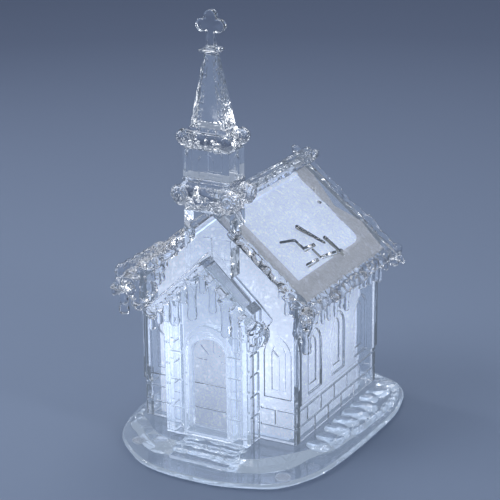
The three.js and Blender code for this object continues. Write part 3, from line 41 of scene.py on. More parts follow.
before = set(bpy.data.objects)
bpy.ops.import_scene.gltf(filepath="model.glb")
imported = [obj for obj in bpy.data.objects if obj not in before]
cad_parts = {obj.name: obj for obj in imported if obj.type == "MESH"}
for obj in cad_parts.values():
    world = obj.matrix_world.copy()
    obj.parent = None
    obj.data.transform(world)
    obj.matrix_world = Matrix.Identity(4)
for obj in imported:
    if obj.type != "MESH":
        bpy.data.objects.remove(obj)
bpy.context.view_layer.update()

MM = 0.001
JOINT_GAP = 0.3 * MM

# Where the church's front wall stands: its middle, its outer face and the ground under it
WALL_LOW, WALL_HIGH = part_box("front_wall")
FRONT_FOOT = Vector(((WALL_LOW.x + WALL_HIGH.x) / 2, WALL_LOW.y, WALL_LOW.z - JOINT_GAP))

SHELL_NODES = (
    "front_wall", "rear_wall", "right_wall", "left_wall", "right_roof", "left_roof",
    "ridge_cap", "porch_front", "right_porch_wall", "left_porch_wall", "porch_roof",
    "door_panel", "tower_block", "lower_collar", "belfry", "upper_collar", "spire",
    "finial_ring", "cross", "base_plate",
)
# Width of the iced edges of a slope, and how far a point between them may be from its flat
ICED_MARGIN = 0.0038
CLOSE_TO_FLAT = 0.0011
# Shingle joints on the right slope: start and end across the church from its middle and back
# from its front wall, with their half widths there
SHINGLE_DEPTH = 1.1 * MM
SHINGLE_CUTS = [
    (Vector(start) * MM, Vector(end) * MM, root * MM, tip * MM)
    for start, end, root, tip in (
        ((20.1, 31.4), (28.8, 38.1), 1.4, 0.6),
        ((27.8, 41.3), (35.2, 42.2), 1.2, 0.8),
        ((23.0, 22.8), (27.7, 23.5), 0.6, 0.6),
        ((28.7, 27.9), (32.2, 28.1), 0.6, 0.6),
        ((21.2, 14.0), (23.0, 22.8), 0.5, 0.6),
        ((27.2, 23.5), (27.6, 31.0), 1.1, 0.8),
        ((32.2, 28.1), (34.1, 43.5), 0.8, 1.0),
        ((32.0, 16.8), (32.2, 25.0), 1.0, 0.8),
        ((11.5, 62.3), (11.8, 62.6), 0.9, 0.9),
        ((16.6, 58.0), (16.9, 58.3), 0.8, 0.8),
    )
]
# Rear edge of the frost under the roof: how far down the slope, and how far back from the
# church's front wall
FROST_EDGE = [
    (down * MM, back * MM)
    for down, back in ((0, 73.0), (10, 72.6), (18, 70.0), (26, 67.2), (32, 71.0), (38, 74.4),
                       (46, 72.4), (60, 71.0))
]
# The white seen through the roof: how round its lower rear corner is, how far its rear edge
# wanders and how far from the ridge glitter lies under the slope; EAVE_BARE has no frost
SHEET_CORNER = 6.0 * MM
WHITE_SWAY = 0.0014
RIDGE_WHITE = 0.0058
EAVE_BARE = 0.0032
# Places of a roof's other finishes in its list of materials, after the ice
FROST, FLAT, JOINT, WHITE = range(1, 5)
# The gable edge of the porch roof: its apex above the ground, how steeply it falls, how far it
# reaches to each side and how far it stands before the door
PORCH_APEX = 75.9 * MM
PORCH_FALL = 0.946
PORCH_REACH = 24.0 * MM
PORCH_FRONT = 9.8 * MM
# Ice that hangs from that edge: place across the church, length and radius
PORCH_DRIPS = [
    (x * MM, length * MM, radius * MM)
    for x, length, radius in (
        (-23.0, 7.5, 1.9), (-19.3, 8.0, 1.8), (-16.0, 9.5, 1.7), (-12.3, 14.0, 2.6),
        (-7.8, 8.0, 2.0), (-4.2, 18.0, 2.6), (0.8, 9.0, 2.0), (5.2, 12.5, 2.1),
        (11.2, 16.0, 2.8), (15.4, 18.0, 2.2), (19.6, 8.5, 2.4), (23.0, 9.0, 2.1),
    )
]
# The bank lies further out than this, and the plinth and the steps nearer
BANK_REACH = 0.0375
# Distance at which a lamp's light on a sheet has fallen to half, from a place over the lamp
LAMP_REACH = 18 * MM
LAMP_RISE = Vector((0, 0, 0.008))
SHEET_NODES = (
    "front_sheet", "rear_sheet", "right_sheet", "left_sheet", "right_roof_sheet",
    "left_roof_sheet", "porch_sheet",
)


# Sizes and colours

class StageSettings(bpy.types.PropertyGroup):
    """The floor, the camera and the lamps"""

    # Painted light: the floor is painted lighter near the church and darker away from it
    floor_lit_colour: bpy.props.FloatVectorProperty(
        name="Floor", description="Colour of the floor near the church", subtype="COLOR", size=3,
        min=0.0, max=1.0, default=(0.165, 0.21, 0.30))
    floor_shade_colour: bpy.props.FloatVectorProperty(
        name="Far Floor", description="Colour of the floor away from the church", subtype="COLOR",
        size=3, min=0.0, max=1.0, default=(0.086, 0.112, 0.178))
    camera_place: bpy.props.FloatVectorProperty(
        name="Camera Place", description="Camera, from the middle of the front wall's foot",
        subtype="TRANSLATION", size=3, unit="LENGTH", default=(0.3386, -0.5982, 0.3184))
    camera_azimuth: bpy.props.FloatProperty(
        name="Camera Azimuth", description="Side from which the camera looks",
        subtype="ANGLE", default=math.radians(28.421))
    camera_elevation: bpy.props.FloatProperty(
        name="Camera Elevation", description="Height angle of the camera",
        subtype="ANGLE", default=math.radians(19.253))
    camera_roll: bpy.props.FloatProperty(
        name="Camera Roll", description="Turn of the picture", subtype="ANGLE",
        default=math.radians(-0.656))
    lens: bpy.props.FloatProperty(
        name="Lens", description="Focal length on a 36 mm wide sensor, in millimetres",
        min=20.0, max=300.0, default=131.66)
    daylight: bpy.props.FloatProperty(
        name="Daylight", description="Strength of the even light all round", min=0.0,
        max=5.0, default=0.55)


class AcrylicSettings(bpy.types.PropertyGroup):
    """Clear moulded acrylic"""

    # Painted glow: emission that lights the clear acrylic evenly, standing in for the lamps' light
    painted_acrylic_glow: bpy.props.FloatProperty(
        name="Edge Glow", description="Lamplight that the acrylic carries to its edges",
        min=0.0, max=1.0, default=0.025)
    tint: bpy.props.FloatVectorProperty(
        name="Tint", description="Colour of the clear acrylic", subtype="COLOR", size=3,
        min=0.0, max=1.0, default=(0.96, 0.975, 1.0))
    # Painted shade: the clear acrylic's colour darkens towards this where its surface turns away,
    # drawing dark outlines
    contour_shade: bpy.props.FloatVectorProperty(
        name="Contour", description="Colour where the acrylic turns away", subtype="COLOR",
        size=3, min=0.0, max=1.0, default=(0.22, 0.25, 0.30))


class SheetSettings(bpy.types.PropertyGroup):
    """Glittered sheets that line the church"""

    colour: bpy.props.FloatVectorProperty(
        name="Sheet", description="Colour of the white sheet", subtype="COLOR", size=3,
        min=0.0, max=1.0, default=(0.60, 0.67, 0.81))
    flake_colour: bpy.props.FloatVectorProperty(
        name="Flakes", description="Colour of the glitter flakes", subtype="COLOR", size=3,
        min=0.0, max=1.0, default=(0.80, 0.88, 1.0))
    # The lamps' light on the sheets is painted on as emission
    glow: bpy.props.FloatProperty(
        name="Glow Strength", description="How strongly the lamps light the sheets",
        min=0.0, max=4.0, default=0.75)
    flake_size: bpy.props.FloatProperty(
        name="Flake Size", description="Size of one glitter flake", unit="LENGTH",
        min=0.0001, max=0.005, default=0.00042)


class IceSettings(bpy.types.PropertyGroup):
    """Ice that runs down the edges of the roofs and hangs from them"""

    voxel: bpy.props.FloatProperty(
        name="Grain", description="Size of the cells that fuse the ice", unit="LENGTH",
        min=0.0002, max=0.002, default=0.00045)
    rake_radius: bpy.props.FloatProperty(
        name="Rake Ice", description="Radius of the ice along the gable edges", unit="LENGTH",
        min=0.0005, max=0.005, default=0.0019)
    eave_radius: bpy.props.FloatProperty(
        name="Eave Ice", description="Radius of the ice along the eaves", unit="LENGTH",
        min=0.0005, max=0.005, default=0.0021)
    drip_length: bpy.props.FloatProperty(
        name="Longest Drip", description="Length of the longest icicle", unit="LENGTH",
        min=0.001, max=0.03, default=0.0085)
    drip_radius: bpy.props.FloatProperty(
        name="Drip Radius", description="Radius of an icicle near its root", unit="LENGTH",
        min=0.0003, max=0.004, default=0.0013)
    ripple: bpy.props.FloatProperty(
        name="Ripple", description="How far the ice's skin waves in and out", unit="LENGTH",
        min=0.0, max=0.002, default=0.0003)


# Ice shapes

def add_ball(bm, centre, radii, turn=None):
    matrix = Matrix.Translation(centre)
    if turn is not None:
        matrix = matrix @ turn.to_matrix().to_4x4()
    bmesh.ops.create_icosphere(bm, subdivisions=2, radius=1.0,
                               matrix=matrix @ Matrix.Diagonal((*radii, 1.0)))


def add_lathe(bm, foot, profile, sides=10):
    """A standing turned shape: profile is a list of (radius, height) from the foot."""
    rings = []
    for radius, height in profile:
        ring = []
        for i in range(sides):
            angle = 2 * math.pi * i / sides
            ring.append(bm.verts.new(foot + Vector(
                (radius * math.cos(angle), radius * math.sin(angle), height))))
        rings.append(ring)
    for low, high in zip(rings, rings[1:]):
        for i in range(sides):
            j = (i + 1) % sides
            bm.faces.new((low[i], low[j], high[j], high[i]))
    bm.faces.new(reversed(rings[0]))
    bm.faces.new(rings[-1])


def add_drip(bm, root, length, radius, tip=0.72):
    """An icicle with a wide root and a round drop at its tip."""
    low = root - Vector((0, 0, length))
    drop = radius * tip
    add_lathe(bm, low, [
        (drop * 0.5, 0.0), (drop * 0.9, drop * 0.35), (drop, drop), (drop * 0.86, length * 0.32),
        (radius * 0.72, length * 0.6), (radius * 0.95, length * 0.85), (radius * 1.35, length),
    ])


def add_prism(bm, corners, along):
    """A convex outline pushed along a vector."""
    near = [bm.verts.new(point) for point in corners]
    far = [bm.verts.new(point + along) for point in corners]
    bm.faces.new(near)
    bm.faces.new(reversed(far))
    for i, vert in enumerate(near):
        j = (i + 1) % len(near)
        bm.faces.new((near[j], vert, far[i], far[j]))
    bmesh.ops.recalc_face_normals(bm, faces=bm.faces)


def add_run(bm, start, end, radius, spacing, rng, drop=0.0, end_radius=None, uneven=1.0):
    """Lumps of ice of uneven size side by side along an edge."""
    way = end - start
    steps = max(2, round(way.length / spacing))
    turn = way.to_track_quat("X", "Z")
    for i in range(steps + 1):
        place = start + way * (i / steps)
        size = radius + ((end_radius or radius) - radius) * i / steps
        size *= 1.0 + rng.uniform(-0.28, 0.2) * uneven
        place = place + Vector((0, 0, -drop * rng.random()))
        place += Vector((rng.uniform(-0.2, 0.2), rng.uniform(-0.2, 0.2),
                         rng.uniform(-0.2, 0.2))) * size * uneven
        lean = min(0.3, 0.4 * radius / spacing) * uneven
        tilt = Quaternion((0, 1, 0), rng.uniform(-lean, lean))
        add_ball(bm, place, (spacing * rng.uniform(0.8, 1.1), size, size * 1.05), turn @ tilt)


def add_scroll(bm, centre, facing, radius, thickness, turns=1.6):
    """A rolled ribbon of ice that winds inward on the face of a lump."""
    across = Vector((0, 0, 1)).cross(facing).normalized()
    upward = facing.cross(across)
    steps = round(turns * 16)
    for i in range(steps + 1):
        share = i / steps
        angle = share * turns * 2 * math.pi
        reach = radius * (1.0 - 0.72 * share)
        place = centre + (across * math.cos(angle) + upward * math.sin(angle)) * reach
        add_ball(bm, place + facing * thickness * share, (thickness,) * 3)


def add_drips(bm, start, end, count, shortest, longest, radius, rng):
    for i in range(count):
        share = (i + rng.uniform(0.15, 0.85)) / count
        length = shortest + (longest - shortest) * rng.random() ** 1.5
        add_drip(bm, start.lerp(end, share), length, radius * rng.uniform(0.75, 1.15))


def melted(name, bm, voxel, rounds, ripple, size, seed, crease=0.0):
    """Fuse overlapping shapes into one soft skin that waves slightly."""
    rough = bpy.data.meshes.new(name)
    bm.to_mesh(rough)
    bm.free()
    obj = bpy.data.objects.new(name, rough)
    bpy.context.collection.objects.link(obj)
    fuse = obj.modifiers.new("Fuse", "REMESH")
    fuse.mode = "VOXEL"
    fuse.voxel_size = voxel
    fuse.use_smooth_shade = True
    soften = obj.modifiers.new("Soften", "SMOOTH")
    soften.iterations = rounds
    soften.factor = 0.5
    graph = bpy.context.evaluated_depsgraph_get()
    obj.data = bpy.data.meshes.new_from_object(obj.evaluated_get(graph))
    obj.modifiers.clear()
    bpy.data.meshes.remove(rough)
    wave(obj, ripple, size, seed, crease)
    return obj


def wave(obj, depth, size, seed, crease):
    """Slow waves, and creases where two swells meet."""
    shift = Vector((seed * 1.7, seed * 2.3, seed * 0.9))
    normals = [vertex.normal.copy() for vertex in obj.data.vertices]
    for vertex, normal in zip(obj.data.vertices, normals):
        height = depth * noise.noise(vertex.co / size + shift)
        if crease:
            swell = abs(noise.noise(vertex.co / (size * 0.8) + shift * 2))
            height -= crease * max(0.0, 1.0 - swell * 5.0)
        vertex.co += normal * height


def world_bmesh(node):
    """A copy of a CAD piece's mesh in world places, to build on."""
    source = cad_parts[node]
    bm = bmesh.new()
    bm.from_mesh(source.data)
    bm.transform(source.matrix_world)
    bmesh.ops.remove_doubles(bm, verts=bm.verts, dist=0.00001)
    return bm


class Slope:
    """The flat top of a roof in the frame: its ridge end, its directions and its reach."""

    def __init__(self, node, side):
        bm = world_bmesh(node)
        areas = {}
        for face in bm.faces:
            if face.normal.z > 0.3 and face.normal.x * side > 0.3:
                key = tuple(round(value, 2) for value in face.normal)
                areas.setdefault(key, []).append(face)
        flat = max(areas.values(), key=lambda faces: sum(face.calc_area() for face in faces))
        self.out = flat[0].normal.copy()
        self.out.y = 0.0
        self.out.normalize()
        self.down = Vector((self.out.z * side, 0.0, -abs(self.out.x)))
        points = [vertex.co for face in flat for vertex in face.verts]
        level = sum(point.dot(self.out) for point in points) / len(points)
        reach = [point.dot(self.down) for point in points]
        self.front = min(point.y for point in points)
        self.rear = max(point.y for point in points)
        self.start, self.length = min(reach), max(reach) - min(reach)
        self.base = self.out * level
        bm.free()

    def at(self, down, y, out=0.0):
        place = self.base + self.down * (self.start + down) + self.out * out
        return Vector((place.x, y, place.z))

    def down_to(self, x):
        """How far down the slope a place across the church lies."""
        return (x - self.at(0.0, 0.0).x) / self.down.x


# Shader helpers

def fill_inputs(tree, node, values):
    """Give a node's inputs plain values or the outputs of other nodes."""
    for name, value in values.items():
        if isinstance(value, bpy.types.NodeSocket):
            tree.links.new(value, node.inputs[name])
        else:
            node.inputs[name].default_value = value


def add_node(tree, kind, values=None, **settings):
    node = tree.nodes.new(f"ShaderNode{kind}")
    for name, value in settings.items():
        setattr(node, name, value)
    fill_inputs(tree, node, values or {})
    return node


def new_group(name, inputs, outputs):
    group = bpy.data.node_groups.new(name, "ShaderNodeTree")
    for socket_name, kind, value in inputs:
        socket = group.interface.new_socket(socket_name, in_out="INPUT", socket_type=kind)
        socket.default_value = value
    for socket_name, kind in outputs:
        group.interface.new_socket(socket_name, in_out="OUTPUT", socket_type=kind)
    return group, group.nodes.new("NodeGroupInput"), group.nodes.new("NodeGroupOutput")


def place_group(tree, group, values):
    return add_node(tree, "Group", values, node_tree=group).outputs


def math_node(tree, operation, first, second=None):
    values = {0: first} if second is None else {0: first, 1: second}
    return add_node(tree, "Math", values, operation=operation).outputs[0]


def map_range(tree, value, low, high, to_low=0.0, to_high=1.0):
    return add_node(tree, "MapRange", {
        "Value": value, "From Min": low, "From Max": high, "To Min": to_low,
        "To Max": to_high}).outputs["Result"]


def mix_colours(tree, factor, first, second):
    return add_node(tree, "Mix", {"Factor": factor, "A": first, "B": second},
                    data_type="RGBA").outputs["Result"]


def scale_colour(tree, colour, factor):
    return add_node(tree, "VectorMath", {0: colour, "Scale": factor},
                    operation="SCALE").outputs["Vector"]


def surface_place(tree):
    return add_node(tree, "NewGeometry").outputs["Position"]


def part_of(tree, place, axis):
    return add_node(tree, "SeparateXYZ", {"Vector": place}).outputs[axis]


def cell_values(tree, place, scale):
    """Three random values for each cell of the given size, as Red, Green and Blue."""
    cells = add_node(tree, "TexVoronoi", {"Vector": place, "Scale": scale})
    return add_node(tree, "SeparateColor", {"Color": cells.outputs["Color"]}).outputs


def ripple_group():
    """Slow waves and fine grain of a moulded clear surface, as one height."""
    if "Ice Ripple" in bpy.data.node_groups:
        return bpy.data.node_groups["Ice Ripple"]
    group, inward, outward = new_group(
        "Ice Ripple",
        [("Scale", "NodeSocketFloat", 250.0), ("Grain", "NodeSocketFloat", 0.2),
         ("Crease", "NodeSocketFloat", 0.0)],
        [("Height", "NodeSocketFloat")])
    place, scale = surface_place(group), inward.outputs["Scale"]
    slow = add_node(group, "TexNoise", {"Vector": place, "Scale": scale, "Detail": 1.5})
    fine = add_node(group, "TexNoise", {
        "Vector": place, "Scale": math_node(group, "MULTIPLY", scale, 5.0), "Detail": 2.0})
    folds = add_node(group, "TexNoise", {
        "Vector": place, "Scale": scale, "Detail": 1.0, "Distortion": 0.6})
    grain = math_node(group, "MULTIPLY", fine.outputs["Fac"], inward.outputs["Grain"])
    away = math_node(group, "ABSOLUTE", math_node(group, "SUBTRACT", folds.outputs["Fac"], 0.5))
    crease = math_node(group, "MULTIPLY", map_range(group, away, 0.0, 0.09, 1.0, 0.0),
                       inward.outputs["Crease"])
    waves = math_node(group, "ADD", slow.outputs["Fac"], grain)
    fill_inputs(group, outward, {"Height": math_node(group, "SUBTRACT", waves, crease)})
    return group


def glitter_group():
    """Flakes scattered over a sheet: a colour, a roughness and a height."""
    if "Glitter" in bpy.data.node_groups:
        return bpy.data.node_groups["Glitter"]
    group, inward, outward = new_group(
        "Glitter",
        [("Sheet", "NodeSocketColor", (0.7, 0.75, 0.9, 1.0)),
         ("Flake", "NodeSocketColor", (1.0, 1.0, 1.0, 1.0)),
         ("Scale", "NodeSocketFloat", 1800.0)],
        [("Colour", "NodeSocketColor"), ("Roughness", "NodeSocketFloat"),
         ("Height", "NodeSocketFloat")])
    place, scale = surface_place(group), inward.outputs["Scale"]
    fine = cell_values(group, place, scale)
    coarse = cell_values(group, place, math_node(group, "MULTIPLY", scale, 0.45))
    flakes = math_node(group, "MAXIMUM", map_range(group, fine["Red"], 0.5, 1.4),
                       map_range(group, coarse["Red"], 0.88, 0.97))
    cloud = add_node(group, "TexNoise", {"Vector": place, "Scale": 90.0})
    shade = math_node(group, "MULTIPLY",
                      map_range(group, cloud.outputs["Fac"], 0.3, 0.7, 0.92, 1.0),
                      map_range(group, fine["Green"], 0.0, 1.0, 0.9, 1.0))
    sheet = scale_colour(group, inward.outputs["Sheet"], shade)
    fill_inputs(group, outward, {
        "Colour": mix_colours(group, flakes, sheet, inward.outputs["Flake"]),
        "Roughness": math_node(group, "ADD", math_node(group, "MULTIPLY", flakes, -0.4), 0.65),
        "Height": fine["Blue"]})
    return group


def lamplight_group():
    """Lamplight painted on the sheets as emission, which fades with the distance from each lamp.
    """
    if "Lamplight" in bpy.data.node_groups:
        return bpy.data.node_groups["Lamplight"]
    group, inward, outward = new_group(
        "Lamplight", [("Colour", "NodeSocketColor", (0.8, 0.8, 0.8, 1.0))],
        [("Colour", "NodeSocketColor")])
    place = surface_place(group)
    total = None
    for i in (1, 2, 3, 4):
        low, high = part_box(f"led_{i}")
        reach = add_node(group, "VectorMath", {0: place, 1: (low + high) / 2 + LAMP_RISE},
                         operation="DISTANCE")
        fade = math_node(group, "POWER", reach.outputs["Value"], 2.0)
        light = math_node(group, "DIVIDE", LAMP_REACH ** 2,
                          math_node(group, "ADD", fade, LAMP_REACH ** 2))
        total = light if total is None else math_node(group, "ADD", total, light)
    # Painted shade: the sheets grow darker towards the ground
    rise = map_range(group, part_of(group, place, "Z"), WALL_LOW.z + 0.004, WALL_LOW.z + 0.034,
                     0.62, 1.0)
    level = math_node(group, "MULTIPLY", rise, map_range(group, total, 0.3, 1.0, 0.76, 1.65))
    fill_inputs(group, outward, {"Colour": scale_colour(group, inward.outputs["Colour"], level)})
    return group


def grain_group():
    """Fine uneven grain that follows its piece: a shaded colour, a height and a plain mask."""
    if "Fine Grain" in bpy.data.node_groups:
        return bpy.data.node_groups["Fine Grain"]
    group, inward, outward = new_group(
        "Fine Grain",
        [("Colour", "NodeSocketColor", (0.8, 0.8, 0.8, 1.0)), ("Amount", "NodeSocketFloat", 0.2),
         ("Scale", "NodeSocketFloat", 1500.0)],
        [("Colour", "NodeSocketColor"), ("Height", "NodeSocketFloat"),
         ("Grain", "NodeSocketFloat")])
    grain = add_node(group, "TexNoise", {
        "Vector": add_node(group, "TexCoord").outputs["Object"],
        "Scale": inward.outputs["Scale"], "Detail": 3.0}).outputs["Fac"]
    amount = inward.outputs["Amount"]
    shade = math_node(group, "ADD", math_node(group, "SUBTRACT", 1.0, amount),
                      math_node(group, "MULTIPLY", grain, amount))
    fill_inputs(group, outward, {
        "Colour": scale_colour(group, inward.outputs["Colour"], shade), "Height": grain,
        "Grain": grain})
    return group


# Materials

def start_material(name):
    material = bpy.data.materials.new(name)
    material.use_nodes = True
    return material, material.node_tree, material.node_tree.nodes["Principled BSDF"]


def set_material(obj, material):
    obj.data.materials.clear()
    obj.data.materials.append(material)


def add_bump(tree, shader, height, strength, distance):
    bump = add_node(tree, "Bump", {"Height": height, "Strength": strength, "Distance": distance})
    fill_inputs(tree, shader, {"Normal": bump.outputs["Normal"]})


def painted_lamp_glow(strength):
    """A cool glow painted on as emission, standing in for the lamps' light on a clear or pale
    piece.
    """
    return {"Emission Color": (0.70, 0.80, 1.0, 1.0), "Emission Strength": strength}


def acrylic_material(name, strength, grain, scale, glow=None, crease=0.0, side=None,
                     contour_range=(0.6, 0.92)):
    """Clear acrylic with painted shade that darkens its colour where its surface turns away, and a
    glow painted on as emission. With a side given, only the faces towards it are rippled."""
    settings = bpy.context.scene.church_acrylic
    material, tree, shader = start_material(name)
    turned_shade = map_range(tree, add_node(tree, "LayerWeight").outputs["Facing"], *contour_range)
    fill_inputs(tree, shader, {
        "Base Color": mix_colours(tree, turned_shade, (*settings.tint, 1.0), (*settings.contour_shade, 1.0)),
        "Roughness": 0.015, "IOR": 1.49, "Transmission Weight": 1.0,
        # Emission paints a cool glow into the acrylic
        "Emission Color": (0.62, 0.77, 1.0, 1.0),
        "Emission Strength": settings.painted_acrylic_glow if glow is None else glow})
    height = place_group(tree, ripple_group(), {
        "Scale": scale, "Grain": grain, "Crease": crease})["Height"]
    if side is not None:
        normal = add_node(tree, "NewGeometry").outputs["Normal"]
        facing = add_node(tree, "VectorMath", {0: normal, 1: side}, operation="DOT_PRODUCT")
        height = math_node(tree, "MULTIPLY", height,
                           map_range(tree, facing.outputs["Value"], 0.35, 0.6, 0.1, 1.0))
    add_bump(tree, shader, height, strength, 0.0008)
    return material


def ice_material(name, strength, scale, glow=0.006):
    """Clear ice in lumps, with painted dark outlines."""
    return acrylic_material(name, strength, 0.0, scale, glow, contour_range=(0.3, 0.88))


def glitter_material(name, share=1.0):
    """White glitter with the lamps' light painted on as emission; share tells how much of that
    painted light gets there.
    """
    settings = bpy.context.scene.church_sheets
    material, tree, shader = start_material(name)
    glitter = place_group(tree, glitter_group(), {
        "Sheet": (*settings.colour, 1.0), "Flake": (*settings.flake_colour, 1.0),
        "Scale": 1.0 / settings.flake_size})
    light = place_group(tree, lamplight_group(), {"Colour": glitter["Colour"]})
    fill_inputs(tree, shader, {
        "Base Color": glitter["Colour"], "Roughness": glitter["Roughness"],
        "Emission Color": light["Colour"], "Emission Strength": settings.glow * share})
    add_bump(tree, shader, glitter["Height"], 0.25, 0.0002)
    return material


def frosted_material(name):
    """Dull frost under a roof, past the edge of its white sheet, with a painted glow given as
    emission.
    """
    settings = bpy.context.scene.church_sheets
    material, tree, shader = start_material(name)
    glitter = place_group(tree, glitter_group(), {
        "Sheet": (0.50, 0.51, 0.54, 1.0), "Flake": (0.62, 0.64, 0.7, 1.0),
        "Scale": 0.6 / settings.flake_size})
    fill_inputs(tree, shader, {
        "Base Color": glitter["Colour"], "Roughness": glitter["Roughness"],
        # Painted glow: the frost emits its own colour, standing in for the lamps' light
        "Emission Color": glitter["Colour"], "Emission Strength": 0.25,
        "Transmission Weight": 0.35})
    add_bump(tree, shader, glitter["Height"], 0.2, 0.0002)
    return material


def grained_material(name, colour, amount, scale, roughness, bump, values=None, lit=False):
    """One fine grain gives the colour, the gloss and the skin. The roughness may be a range,
    bump is its strength and height, and a lit piece glows in its own colour."""
    material, tree, shader = start_material(name)
    grain = place_group(tree, grain_group(), {
        "Colour": (*colour, 1.0), "Amount": amount, "Scale": scale})
    if isinstance(roughness, tuple):
        roughness = map_range(tree, grain["Grain"], 0.3, 0.7, *roughness)
    fill_inputs(tree, shader, {"Base Color": grain["Colour"], "Roughness": roughness})
    fill_inputs(tree, shader, values or {})
    if lit:
        fill_inputs(tree, shader, {"Emission Color": grain["Colour"]})
    add_bump(tree, shader, grain["Height"], *bump)
    return material


def cell_material(name, end, inward):
    """A dark jacket with a copper band and a bare metal button at the positive end."""
    material, tree, shader = start_material(name)
    place = add_node(tree, "TexCoord").outputs["Object"]
    depth = math_node(tree, "MULTIPLY",
                      math_node(tree, "SUBTRACT", part_of(tree, place, "Y"), end), float(inward))
    jacket, copper, steel = (
        place_group(tree, grain_group(), {
            "Colour": (*colour, 1.0), "Amount": amount, "Scale": scale})
        for colour, amount, scale in (
            ((0.055, 0.065, 0.075), 0.3, 1800.0), ((0.55, 0.27, 0.12), 0.2, 1800.0),
            ((0.66, 0.65, 0.62), 0.2, 3000.0)))
    in_band = map_range(tree, depth, 0.0121, 0.0119)
    bare = map_range(tree, depth, 0.0012, 0.001)
    wrapped = mix_colours(tree, in_band, jacket["Colour"], copper["Colour"])
    fill_inputs(tree, shader, {
        "Base Color": mix_colours(tree, bare, wrapped, steel["Colour"]),
        "Metallic": math_node(tree, "MAXIMUM", bare, math_node(tree, "MULTIPLY", in_band, 0.7)),
        "Roughness": map_range(tree, jacket["Grain"], 0.3, 0.7, 0.25, 0.38)})
    add_bump(tree, shader, jacket["Height"], 0.1, 0.00005)
    return material


# Steps that finish the pieces

def ride_on_church(piece, *nodes):
    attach(piece, "church")
    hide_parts(*nodes)


